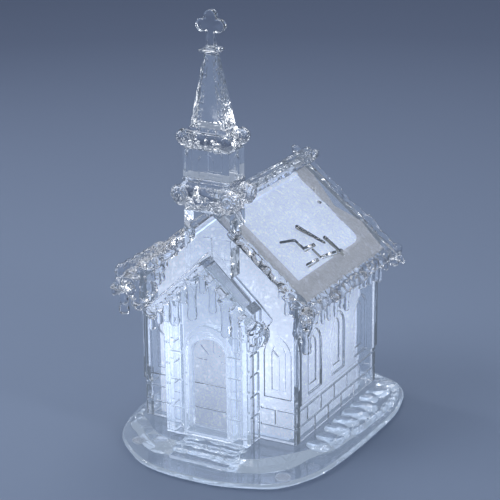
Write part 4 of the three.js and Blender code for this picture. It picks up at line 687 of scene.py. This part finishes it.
class CHURCH_OT_main_roof(bpy.types.Operator):
    """Both slopes of the main roof, with ice along their edges"""

    bl_idname = "church.main_roof"
    bl_label = "Main Roof"

    def execute(self, context):
        finishes = (
            ice_material("Roof Ice", 0.12, 260.0),
            frosted_material("Frosted Underside"),
            acrylic_material("Roof Flat", 0.05, 0.05, 160.0),
            grained_material("Shingle Joint", (0.43, 0.45, 0.45), 0.35, 900.0, 0.35,
                             (0.2, 0.0002), {"Transmission Weight": 0.35}),
            glitter_material("Ridge Glitter"))
        for side, word, seed in ((1, "right", 3), (-1, "left", 8)):
            piece = self.slope_piece(word, side, seed)
            piece.data.materials.clear()
            for finish in finishes:
                piece.data.materials.append(finish)
            slope = Slope(f"{word}_roof", side)
            self.mark_faces(piece, slope, f"{word}_roof_sheet")
            if side > 0:
                self.engrave(piece, slope)
            ride_on_church(piece, f"{word}_roof")
        return {"FINISHED"}

    def slope_piece(self, word, side, seed):
        ice = bpy.context.scene.church_ice
        slope = Slope(f"{word}_roof", side)
        thick = WALL_HIGH.y - WALL_LOW.y
        rng = random.Random(seed)
        bm = bmesh.new()
        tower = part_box("tower_block")
        notch = slope.down_to(tower[1].x + JOINT_GAP if side > 0 else tower[0].x - JOINT_GAP)
        wall = WALL_LOW.y + JOINT_GAP
        drop = thick * math.hypot(1.0, slope.out.x / slope.out.z)
        for start, y0, y1 in ((0.0, wall, slope.rear), (notch, slope.front, wall + thick)):
            top, eave = slope.at(start, y0), slope.at(slope.length, y0)
            under = slope.at(slope.length, y0, -thick)
            add_prism(bm, [top, eave, under, top - Vector((0, 0, drop))], Vector((0, y1 - y0, 0)))
        middle = -thick / 2
        top_front = slope.at(notch, slope.front, middle)
        top_rear = slope.at(0.001, slope.rear, middle)
        eave_front = slope.at(slope.length, slope.front, middle)
        eave_rear = slope.at(slope.length, slope.rear, middle)
        self.eave_ice(bm, eave_front, eave_rear, ice, rng)
        self.rear_ice(bm, top_rear, eave_rear, ice, rng)
        if side > 0:
            self.calm_rake(bm, top_front, eave_front, ice, rng)
        else:
            self.dripping_rake(bm, top_front, eave_front, ice, rng)
        piece = melted(f"{word}_roof_ice", bm, ice.voxel, rounds=6, ripple=ice.ripple, size=0.005,
                       seed=seed, crease=0.00028)
        self.level_faces(piece, slope, thick)
        return piece

    def eave_ice(self, bm, front, rear, ice, rng):
        add_run(bm, front, rear, ice.eave_radius * 1.1, 0.0058, rng, 0.001)
        low = Vector((0, 0, -ice.eave_radius * 0.5))
        add_drips(bm, front + low, rear + low, 15, ice.drip_length * 0.5, ice.drip_length * 1.7,
                  ice.drip_radius * 1.4, rng)

    def rear_ice(self, bm, top, eave, ice, rng):
        """Long rolled lumps that end in a hanging curl at the eave."""
        inward = Vector((0, -ice.rake_radius * 2.1, ice.rake_radius * 0.35))
        add_run(bm, top, eave, ice.rake_radius * 1.25, 0.0075, rng, 0.0008)
        add_run(bm, top + inward, eave + inward, ice.rake_radius * 0.8, 0.0068, rng)
        low = Vector((0, 0, -ice.rake_radius * 0.5))
        add_drips(bm, top.lerp(eave, 0.25) + low, eave + low, 6, ice.drip_length * 0.2,
                  ice.drip_length * 0.45, ice.drip_radius * 0.9, rng)
        add_ball(bm, eave, (0.0034, 0.0028, 0.0036))
        add_drip(bm, eave + low, ice.drip_length * 0.75, ice.drip_radius * 1.5, 0.95)

    def calm_rake(self, bm, top, eave, ice, rng):
        """Straight and clean near the tower, with heavy drips near the eave."""
        add_run(bm, top, eave, ice.rake_radius * 0.6, 0.0016, rng,
                end_radius=ice.rake_radius * 0.75, uneven=0.1)
        low = Vector((0, 0, -ice.rake_radius * 0.5))
        add_ball(bm, eave, (0.0032, 0.0026, 0.0032))
        for share, length, girth in ((0.66, 0.5, 1.0), (0.74, 1.0, 1.3), (0.80, 0.7, 1.2),
                                     (0.87, 1.6, 1.7), (0.94, 1.3, 1.5), (1.0, 1.9, 1.9)):
            add_drip(bm, top.lerp(eave, share) + low, ice.drip_length * length,
                     ice.drip_radius * girth, 0.85)

    def dripping_rake(self, bm, top, eave, ice, rng):
        """Ice that gathers down the rake and hangs in a curtain beside the gable's corner."""
        low = Vector((0, 0, -ice.rake_radius))
        add_run(bm, top + low * 0.9, eave + low * 0.6, ice.rake_radius, 0.0042, rng, 0.0008)
        add_run(bm, top + low * 2.0, eave + low * 1.9, ice.rake_radius * 0.95, 0.0052, rng, 0.0016)
        inward = Vector((0, 0.0035, 0))
        for share, length, girth in (
                (0.03, 0.55, 0.8), (0.10, 0.35, 1.0), (0.17, 0.6, 0.8), (0.24, 0.4, 1.0),
                (0.31, 0.8, 0.8), (0.37, 0.9, 1.1), (0.43, 1.4, 1.2), (0.48, 1.1, 1.0),
                (0.53, 1.9, 1.4), (0.58, 1.5, 1.1), (0.63, 2.1, 1.5), (0.68, 1.7, 1.2),
                (0.73, 1.9, 1.5), (0.78, 1.2, 1.1), (0.83, 1.0, 1.3)):
            root = top.lerp(eave, share) + low * 1.6
            add_drip(bm, root, ice.drip_length * length, ice.drip_radius * girth, 0.85)
            if length > 1.0:
                aside = Vector((rng.uniform(-0.002, 0.002), 0, -0.001))
                add_drip(bm, root + inward + aside, ice.drip_length * length * 0.85,
                         ice.drip_radius * girth * 1.1, 0.85)
        for x, z, radius in ((0.0005, -0.0012, 0.0035), (0.0048, -0.0010, 0.0036),
                             (0.0090, 0.0004, 0.0034), (0.0135, 0.0030, 0.0033),
                             (0.0050, -0.0045, 0.0030), (0.0100, -0.0040, 0.0028)):
            add_ball(bm, eave + Vector((x, rng.uniform(-0.001, 0.003), z)),
                     (radius * 1.1, radius * 0.9, radius))
        for x, length, radius in ((0.0016, 0.0140, 0.0026), (0.0066, 0.0095, 0.0018),
                                  (0.0112, 0.0085, 0.0016), (0.0155, 0.0060, 0.0014)):
            add_drip(bm, eave + Vector((x, 0.0008, -0.001)), length, radius, 0.9)
        self.eave_heap(bm, top, eave)

    def eave_heap(self, bm, top, eave):
        """Ice that has piled up on the slope towards the end of its eave."""
        uphill = (top - eave).normalized()
        turn = uphill.to_track_quat("X", "Z")
        lift = uphill.cross(Vector((0, 1, 0))).normalized()
        lift = lift if lift.z > 0 else -lift
        for along, rise, radius in ((0.0036, 0.0022, 0.0034), (0.0085, 0.0021, 0.0032),
                                    (0.0135, 0.0018, 0.0030), (0.0190, 0.0015, 0.0027),
                                    (0.0245, 0.0012, 0.0023)):
            add_ball(bm, eave + uphill * along + lift * rise + Vector((0, 0.0012, 0)),
                     (0.0042, radius * 0.9, radius), turn)

    def level_faces(self, piece, slope, thick):
        """The slope's top and underside stay flat between the iced edges."""
        for vertex in piece.data.vertices:
            down = vertex.co.dot(slope.down) - slope.start
            inside = (ICED_MARGIN < down < slope.length - ICED_MARGIN
                      and slope.front + ICED_MARGIN < vertex.co.y < slope.rear - ICED_MARGIN)
            height = (vertex.co - slope.base).dot(slope.out)
            level = 0.0 if height > -thick / 2 else -thick
            if inside and abs(height - level) < CLOSE_TO_FLAT:
                vertex.co += slope.out * (level - height)

    def mark_faces(self, piece, slope, sheet):
        """The flat top is calm, and the underside is frosted where the white sheet ends."""
        low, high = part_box(sheet)
        side = 1 if slope.down.x > 0 else -1
        reach = high.x if side > 0 else -low.x
        for face in piece.data.polygons:
            centre = face.center
            facing = face.normal.dot(slope.out)
            down = centre.dot(slope.down) - slope.start
            sway = WHITE_SWAY * noise.noise(Vector((down / 0.007, 0.0, 0.0)))
            covered = low.y < centre.y < high.y - 0.001 + sway and centre.x * side < reach
            beside = SHEET_CORNER - (high.y - centre.y)
            below = SHEET_CORNER - (reach - centre.x * side) / abs(slope.down.x)
            if beside > 0 and below > 0 and math.hypot(beside, below) > SHEET_CORNER:
                covered = False
            housed = (WALL_LOW.y < centre.y < self.frost_edge(down)
                      and down < slope.length - EAVE_BARE)
            if facing > 0.995:
                face.material_index = FLAT
            elif facing < -0.9 and 0.001 < down < RIDGE_WHITE and low.y < centre.y < high.y:
                face.material_index = WHITE
            elif facing < -0.9 and housed and not covered:
                face.material_index = FROST

    def frost_edge(self, down):
        for (near, first), (far, second) in zip(FROST_EDGE, FROST_EDGE[1:]):
            if down <= far:
                share = (down - near) / (far - near)
                return FRONT_FOOT.y + first + (second - first) * share
        return FRONT_FOOT.y + FROST_EDGE[-1][1]

    def engrave(self, piece, slope):
        """Shingle joints cut into the right slope."""
        cuts = [(*(Vector((slope.down_to(FRONT_FOOT.x + x), FRONT_FOOT.y + y))
                   for x, y in (start, end)), root, tip)
                for start, end, root, tip in SHINGLE_CUTS]

        def depth_at(point):
            place = Vector((slope.down_to(point.x), point.y))
            return max(self.groove(place, *cut) for cut in cuts)

        upward = [vertex for vertex in piece.data.vertices if vertex.normal.dot(slope.out) > 0.6]
        for vertex in upward:
            vertex.co -= slope.out * depth_at(vertex.co) * SHINGLE_DEPTH
        for face in piece.data.polygons:
            if face.normal.dot(slope.out) > 0.3 and depth_at(face.center) > 0.3:
                face.material_index = JOINT

    def groove(self, place, start, end, root, tip):
        """Depth of a rounded cut at a place, from 0 beside it to 1 in its middle."""
        way = end - start
        share = min(1.0, max(0.0, (place - start).dot(way) / way.length_squared))
        half = root + (tip - root) * share
        return max(0.0, 1.0 - ((place - start - way * share).length / half) ** 2)


class CHURCH_OT_ridge(bpy.types.Operator):
    """The ridge of the main roof, lumpy with ice and rolled at its rear end"""

    bl_idname = "church.ridge"
    bl_label = "Ridge"

    def execute(self, context):
        low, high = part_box("ridge_cap")
        rng = random.Random(21)
        bm = world_bmesh("ridge_cap")
        middle, level = (low.x + high.x) / 2, (low.z + high.z) / 2
        radius = (high.x - low.x) / 2
        for side, height, spacing in ((-0.9, -0.4, 0.011), (0.9, -0.4, 0.013), (0, 0, 0.009),
                                      (1.5, -1.1, 0.012)):
            offset = Vector((side * radius, 0, height * radius))
            front = Vector((middle, low.y + radius, level)) + offset
            rear = Vector((middle, high.y - radius * 3.0, level)) + offset
            add_run(bm, front, rear, radius * 0.6, spacing, rng, uneven=0.6)
        end = Vector((middle, high.y - radius * 1.6, level))
        add_ball(bm, end, (radius * 1.05, radius * 1.6, radius * 0.95))
        piece = melted("ridge_cap_ice", bm, 0.00035, rounds=5, ripple=0.0002, size=0.005, seed=5)
        set_material(piece, ice_material("Ridge Ice", 0.2, 300.0, 0.03))
        ride_on_church(piece, "ridge_cap")
        return {"FINISHED"}


class CHURCH_OT_porch_roof(bpy.types.Operator):
    """The porch roof, with a thick band of ice along its gable and long drips"""

    bl_idname = "church.porch_roof"
    bl_label = "Porch Roof"

    def execute(self, context):
        rng = random.Random(31)
        bm = world_bmesh("porch_roof")
        self.gable_band(bm, rng)
        self.hanging_ice(bm)
        piece = melted("porch_roof_ice", bm, 0.00038, rounds=5, ripple=0.0001, size=0.006, seed=6)
        set_material(piece, ice_material("Porch Ice", 0.06, 200.0, 0.015))
        ride_on_church(piece, "porch_roof")
        return {"FINISHED"}

    def edge(self, x):
        """A point on the gable's front edge, halfway up the roof's thickness."""
        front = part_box("door_panel")[0].y - PORCH_FRONT
        level = FRONT_FOOT.z + PORCH_APEX - PORCH_FALL * abs(x)
        return Vector((FRONT_FOOT.x + x, front, level))

    def gable_band(self, bm, rng):
        for side in (-1, 1):
            add_run(bm, self.edge(0.0), self.edge(side * PORCH_REACH), 0.0018, 0.0014, rng,
                    end_radius=0.0023, uneven=0.06)
            foot = self.edge(side * PORCH_REACH)
            add_ball(bm, foot + Vector((0, 0.001, 0)), (0.0032, 0.003, 0.0034))
        leaf = self.edge(PORCH_REACH) + Vector((0.0005, 0.0035, -0.0035))
        add_ball(bm, leaf, (0.0040, 0.0022, 0.0058), Quaternion((0, 1, 0), 0.5))

    def hanging_ice(self, bm):
        for x, length, radius in PORCH_DRIPS:
            root = self.edge(x) - Vector((0, -0.0002, 0.0015))
            add_drip(bm, root, length, radius, 0.85)


class CHURCH_OT_collars(bpy.types.Operator):
    """The two collars of the steeple, with rolled ice at their corners and ribbons between"""

    bl_idname = "church.collars"
    bl_label = "Collars"

    def execute(self, context):
        clear = ice_material("Collar Ice", 0.1, 300.0)
        for node, corner, ribbon, seed in (("lower_collar", 0.0040, 0.0011, 7),
                                           ("upper_collar", 0.0029, 0.0008, 9)):
            low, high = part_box(node)
            rng = random.Random(seed)
            bm = world_bmesh(node)
            self.scrolls(bm, low, high, corner, rng)
            self.ribbons(bm, low, high, corner, ribbon, rng)
            piece = melted(f"{node}_ice", bm, 0.0003, rounds=5, ripple=0.0001, size=0.004,
                           seed=seed)
            set_material(piece, clear)
            ride_on_church(piece, node)
        return {"FINISHED"}

    def scrolls(self, bm, low, high, corner, rng):
        """A winding ribbon on the outer faces of each corner's lump."""
        level = low.z + (high.z - low.z) * 0.47
        for x, sx in ((low.x + corner, -1), (high.x - corner, 1)):
            for y, sy in ((low.y + corner, -1), (high.y - corner, 1)):
                centre = Vector((x, y, level))
                for facing in (Vector((sx, 0, 0)), Vector((0, sy, 0))):
                    face = centre + facing * corner * 0.75
                    add_scroll(bm, face, facing, corner * rng.uniform(0.75, 0.9), corner * 0.17)

    def ribbons(self, bm, low, high, corner, ribbon, rng):
        """Two rolled ledges across each side, the lower one hung with drips."""
        height = high.z - low.z
        inner = corner * 0.9
        for share, radius, sag in ((0.40, ribbon * 1.2, 0.14), (0.68, ribbon, 0.0)):
            z = low.z + height * share
            ends = [Vector((x, y, z)) for x, y in (
                (low.x + inner, low.y + inner), (high.x - inner, low.y + inner),
                (high.x - inner, high.y - inner), (low.x + inner, high.y - inner))]
            for start, end in zip(ends, ends[1:] + ends[:1]):
                middle = start.lerp(end, 0.55) - Vector((0, 0, height * sag))
                add_run(bm, start, middle, radius, 0.0018, rng, uneven=0.15)
                add_run(bm, middle, end, radius, 0.0018, rng, uneven=0.15)
        start, end = (Vector((x, low.y + inner * 0.9, low.z + height * 0.38))
                      for x in (low.x + corner * 1.8, high.x - corner * 1.8))
        for share, length, girth in ((0.05, 0.25, 1.2), (0.3, 0.32, 1.1), (0.52, 0.3, 1.0),
                                     (0.84, 0.5, 1.9)):
            add_drip(bm, start.lerp(end, share), height * length, ribbon * girth, 0.95)


class CHURCH_OT_finial(bpy.types.Operator):
    """The cross and the ring that it stands on, softly moulded"""

    bl_idname = "church.finial"
    bl_label = "Finial"

    def execute(self, context):
        clear = ice_material("Finial Acrylic", 0.15, 300.0, 0.012)
        for node, seed in (("cross", 12), ("finial_ring", 13)):
            piece = melted(f"{node}_ice", world_bmesh(node), 0.00025, rounds=3, ripple=0.0001,
                           size=0.003, seed=seed)
            set_material(piece, clear)
            ride_on_church(piece, node)
        return {"FINISHED"}


class CHURCH_OT_shell(bpy.types.Operator):
    """Clear acrylic on the moulded walls, porch, steeple and base, with softened edges"""

    bl_idname = "church.shell"
    bl_label = "Clear Shell"

    def execute(self, context):
        clear = acrylic_material("Clear Acrylic", 0.12, 0.1, 130.0)
        special = {
            # The base and the porch front get a stronger painted glow, which makes them brighter
            "base_plate": acrylic_material("Base Acrylic", 0.25, 0.0, 90.0, 0.07,
                                          contour_range=(0.72, 0.96)),
            "porch_front": acrylic_material("Porch Acrylic", 0.12, 0.1, 130.0, 0.08),
            "spire": acrylic_material("Spire Acrylic", 0.5, 0.1, 330.0, 0.015, 0.7, (1, 0, 0)),
        }
        for node in SHELL_NODES:
            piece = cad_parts[node]
            set_material(piece, special.get(node, clear))
            piece.modifiers.new("Joined Faces", "WELD").merge_threshold = 0.00001
            bevel = piece.modifiers.new("Softened Edges", "BEVEL")
            bevel.width = 0.0004 if node in ("porch_front", "base_plate") else 0.0002
            bevel.segments = 2
            bevel.limit_method = "ANGLE"
            bevel.angle_limit = math.radians(40)
        return {"FINISHED"}


class CHURCH_OT_ground_ice(bpy.types.Operator):
    """Rounded lumps of ice where the raised ground falls to the base plate"""

    bl_idname = "church.ground_ice"
    bl_label = "Ground Ice"

    def execute(self, context):
        rng = random.Random(41)
        bm = bmesh.new()
        self.bank(bm, rng)
        self.drifts(bm, rng)
        piece = melted("ground_ice", bm, 0.0004, rounds=6, ripple=0.0001, size=0.004, seed=15)
        set_material(piece, ice_material("Ground Ice", 0.12, 250.0, 0.06))
        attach(piece, "church")
        return {"FINISHED"}

    def bank(self, bm, rng):
        """Lumps side by side along the edge of the raised ground."""
        spacing = 0.0042
        for start, end in self.ground_edges():
            way = end - start
            if way.length < 0.0005:
                continue
            for i in range(max(1, round(way.length / spacing))):
                place = start + way * ((i + rng.uniform(0.1, 0.9)) * spacing / way.length)
                size = 0.0013 * rng.uniform(0.7, 1.5)
                turn = way.to_track_quat("X", "Z") @ Quaternion((0, 0, 1), rng.uniform(-0.5, 0.5))
                add_ball(bm, place - Vector((0, 0, size * 0.5)), (size * 2.2, size, size * 0.9),
                         turn)

    def drifts(self, bm, rng):
        """Low heaps of ice on the ground along the right wall."""
        for i in range(9):
            reach = rng.uniform(0.0035, 0.0065)
            place = Vector((WALL_HIGH.x + reach + 0.0012, FRONT_FOOT.y + 0.004 + i * 0.0085,
                            FRONT_FOOT.z + 0.0002))
            add_ball(bm, place, (reach, rng.uniform(0.004, 0.0075), rng.uniform(0.0012, 0.0026)),
                     Quaternion((0, 0, 1), rng.uniform(-0.4, 0.4)))

    def ground_edges(self):
        """The outer edge of the raised ground: level edges between a top and a steep face."""
        bm = world_bmesh("base_plate")
        edges = []
        for edge in bm.edges:
            a, b = (vertex.co for vertex in edge.verts)
            if len(edge.link_faces) != 2 or max(
                    abs(point.z - FRONT_FOOT.z) for point in (a, b)) > 0.0004:
                continue
            slopes = sorted(face.normal.z for face in edge.link_faces)
            reach = max(abs(a.x - FRONT_FOOT.x), abs(a.y))
            if slopes[1] > 0.99 and slopes[0] < 0.8 and reach > BANK_REACH:
                edges.append((a.copy(), b.copy()))
        bm.free()
        return edges


class CHURCH_OT_sheets(bpy.types.Operator):
    """White glitter on the sheets that line the church"""

    bl_idname = "church.sheets"
    bl_label = "Glittered Sheets"

    def execute(self, context):
        glitter = glitter_material("White Glitter")
        # Copies of one glitter with more or less painted lamplight: brighter on the gable, shaded
        # on the sides and the porch
        shaded = glitter_material("Shaded Side Glitter", 0.72)
        special = {
            "porch_sheet": glitter_material("Shaded Porch Glitter", 0.66),
            "front_sheet": glitter_material("Brighter Gable Glitter", 1.15),
            "right_sheet": shaded, "left_sheet": shaded,
        }
        for node in SHEET_NODES:
            set_material(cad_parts[node], special.get(node, glitter))
        return {"FINISHED"}


class CHURCH_OT_lamp_module(bpy.types.Operator):
    """Finishes of the battery and lamp module under the church"""

    bl_idname = "church.lamp_module"
    bl_label = "Lamp Module"

    def execute(self, context):
        skin = (0.15, 0.0001)
        # The white moulding and the clear rubber pads glow with painted lamplight
        white = grained_material("White Moulding", (0.80, 0.83, 0.87), 0.08, 2600.0,
                                 (0.36, 0.50), skin, painted_lamp_glow(0.12))
        dark = grained_material("Dark Switch", (0.035, 0.036, 0.04), 0.35, 2600.0,
                                (0.32, 0.46), skin)
        board = grained_material("Lamp Board", (0.74, 0.75, 0.72), 0.12, 700.0, (0.44, 0.58),
                                 skin)
        nickel = grained_material("Nickel", (0.70, 0.68, 0.63), 0.25, 3500.0, (0.2, 0.42),
                                  (0.12, 0.00005), {"Metallic": 1.0})
        lens = grained_material("Lamp Lens", (1.0, 0.96, 0.86), 0.15, 900.0, 0.12,
                                (0.1, 0.0001),
                                {"Emission Strength": 1.5, "Transmission Weight": 0.5}, True)
        rubber = grained_material("Clear Rubber", (0.93, 0.95, 0.97), 0.08, 1500.0, 0.12,
                                  (0.1, 0.0001),
                                  {"IOR": 1.42, "Transmission Weight": 1.0, **painted_lamp_glow(0.12)})
        for names, material in (
                (("battery_case", "battery_lid", "lamp_tray"), white),
                (("switch_body", "switch_knob"), dark),
                (("lamp_board",), board),
                (("front_lead_contact", "front_link_contact", "rear_link_contact",
                  "rear_lead_contact"), nickel),
                ([f"battery_spring_{i}" for i in (1, 2, 3)], nickel),
                ([f"case_screw_{i}" for i in (1, 2, 3, 4)], nickel),
                ([f"led_{i}" for i in (1, 2, 3, 4)], lens),
                ([f"foot_pad_{i}" for i in (1, 2, 3, 4)], rubber)):
            for name in names:
                set_material(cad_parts[name], material)
        for i in (1, 2, 3):
            name = f"battery_cell_{i}"
            low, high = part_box(name)
            at_rear = i != 2
            set_material(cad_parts[name], cell_material(
                f"Cell Jacket {i}", high.y if at_rear else low.y, -1 if at_rear else 1))
        return {"FINISHED"}


class CHURCH_OT_stage(bpy.types.Operator):
    """A plain floor, soft lamps and the camera"""

    bl_idname = "church.stage"
    bl_label = "Stage"

    def execute(self, context):
        settings = context.scene.church_stage
        self.add_floor(settings)
        self.add_light(settings)
        self.add_camera(settings)
        return {"FINISHED"}

    def add_floor(self, settings):
        mesh = bpy.data.meshes.new("floor")
        bm = bmesh.new()
        bmesh.ops.create_circle(bm, cap_ends=True, segments=64, radius=6.0)
        bm.to_mesh(mesh)
        bm.free()
        floor = bpy.data.objects.new("floor", mesh)
        bpy.context.collection.objects.link(floor)
        material, tree, shader = start_material("Floor")
        # Painted pool of light: lighter near the church, fading to a darker painted shade farther
        # out
        reach = add_node(tree, "VectorMath", {0: surface_place(tree)}, operation="LENGTH")
        far = map_range(tree, reach.outputs["Value"], 0.1, 0.75)
        fill_inputs(tree, shader, {
            "Base Color": mix_colours(tree, far, (*settings.floor_lit_colour, 1.0),
                                      (*settings.floor_shade_colour, 1.0)),
            "Roughness": 0.85})
        set_material(floor, material)

    def add_light(self, settings):
        world = bpy.data.worlds.new("Daylight")
        bpy.context.scene.world = world
        world.use_nodes = True
        tree = world.node_tree
        way = add_node(tree, "TexCoord").outputs["Generated"]
        height = map_range(tree, part_of(tree, way, "Z"), -0.1, 0.8)
        fill_inputs(tree, tree.nodes["Background"], {
            "Color": mix_colours(tree, height, (0.18, 0.225, 0.33, 1.0), (0.86, 0.97, 1.15, 1.0)),
            "Strength": settings.daylight})
        for name, place, width, tall, power in (
                ("key_lamp", (-0.55, -0.45, 0.75), 0.55, 0.55, 3.6),
                ("left_strip", (-0.75, 0.1, 0.3), 0.07, 0.8, 1.5),
                ("right_strip", (0.8, -0.15, 0.35), 0.08, 0.8, 1.8),
                ("back_lamp", (-0.2, 0.6, 0.8), 0.5, 0.5, 2.4)):
            light = bpy.data.lights.new(name, "AREA")
            light.shape = "RECTANGLE"
            light.size = width
            light.size_y = tall
            light.energy = power
            lamp = bpy.data.objects.new(name, light)
            lamp.location = place
            aim = Vector((0, 0, 0.08)) - Vector(place)
            lamp.rotation_euler = aim.to_track_quat("-Z", "Y").to_euler()
            bpy.context.collection.objects.link(lamp)

    def add_camera(self, settings):
        az, el, roll = settings.camera_azimuth, settings.camera_elevation, settings.camera_roll
        back = Vector((math.sin(az) * math.cos(el), -math.cos(az) * math.cos(el), math.sin(el)))
        right = Vector((math.cos(az), math.sin(az), 0.0))
        up = back.cross(right)
        across = right * math.cos(roll) + up * math.sin(roll)
        upward = up * math.cos(roll) - right * math.sin(roll)
        lens = bpy.data.cameras.new("camera")
        lens.lens = settings.lens
        lens.sensor_width = 36.0
        camera = bpy.data.objects.new("camera", lens)
        turn = Matrix((across, upward, back)).transposed().to_4x4()
        camera.matrix_world = Matrix.Translation(
            FRONT_FOOT + Vector(settings.camera_place)) @ turn
        bpy.context.collection.objects.link(camera)
        bpy.context.scene.camera = camera


class CHURCH_PT_panel(bpy.types.Panel):
    """Steps that finish the church, in order"""

    bl_label = "Acrylic Church"
    bl_idname = "CHURCH_PT_panel"
    bl_space_type = "VIEW_3D"
    bl_region_type = "UI"
    bl_category = "Church"

    def draw(self, context):
        column = self.layout.column()
        for step in STEPS:
            column.operator(step.bl_idname)


SETTINGS = (
    ("church_stage", StageSettings),
    ("church_acrylic", AcrylicSettings),
    ("church_sheets", SheetSettings),
    ("church_ice", IceSettings),
)
STEPS = (
    CHURCH_OT_shell, CHURCH_OT_ground_ice, CHURCH_OT_sheets, CHURCH_OT_lamp_module,
    CHURCH_OT_main_roof, CHURCH_OT_ridge, CHURCH_OT_porch_roof, CHURCH_OT_collars,
    CHURCH_OT_finial, CHURCH_OT_stage,
)


def register():
    for name, settings in SETTINGS:
        bpy.utils.register_class(settings)
        setattr(bpy.types.Scene, name, bpy.props.PointerProperty(type=settings))
    for step in STEPS:
        bpy.utils.register_class(step)
    bpy.utils.register_class(CHURCH_PT_panel)


def unregister():
    bpy.utils.unregister_class(CHURCH_PT_panel)
    for step in reversed(STEPS):
        bpy.utils.unregister_class(step)
    for name, settings in reversed(SETTINGS):
        delattr(bpy.types.Scene, name)
        bpy.utils.unregister_class(settings)


def main():
    scene = bpy.context.scene
    scene.view_settings.view_transform = "Standard"
    register()
    for step in STEPS:
        area, operator = step.bl_idname.split(".")
        getattr(getattr(bpy.ops, area), operator)()


if __name__ == "__main__":
    main()
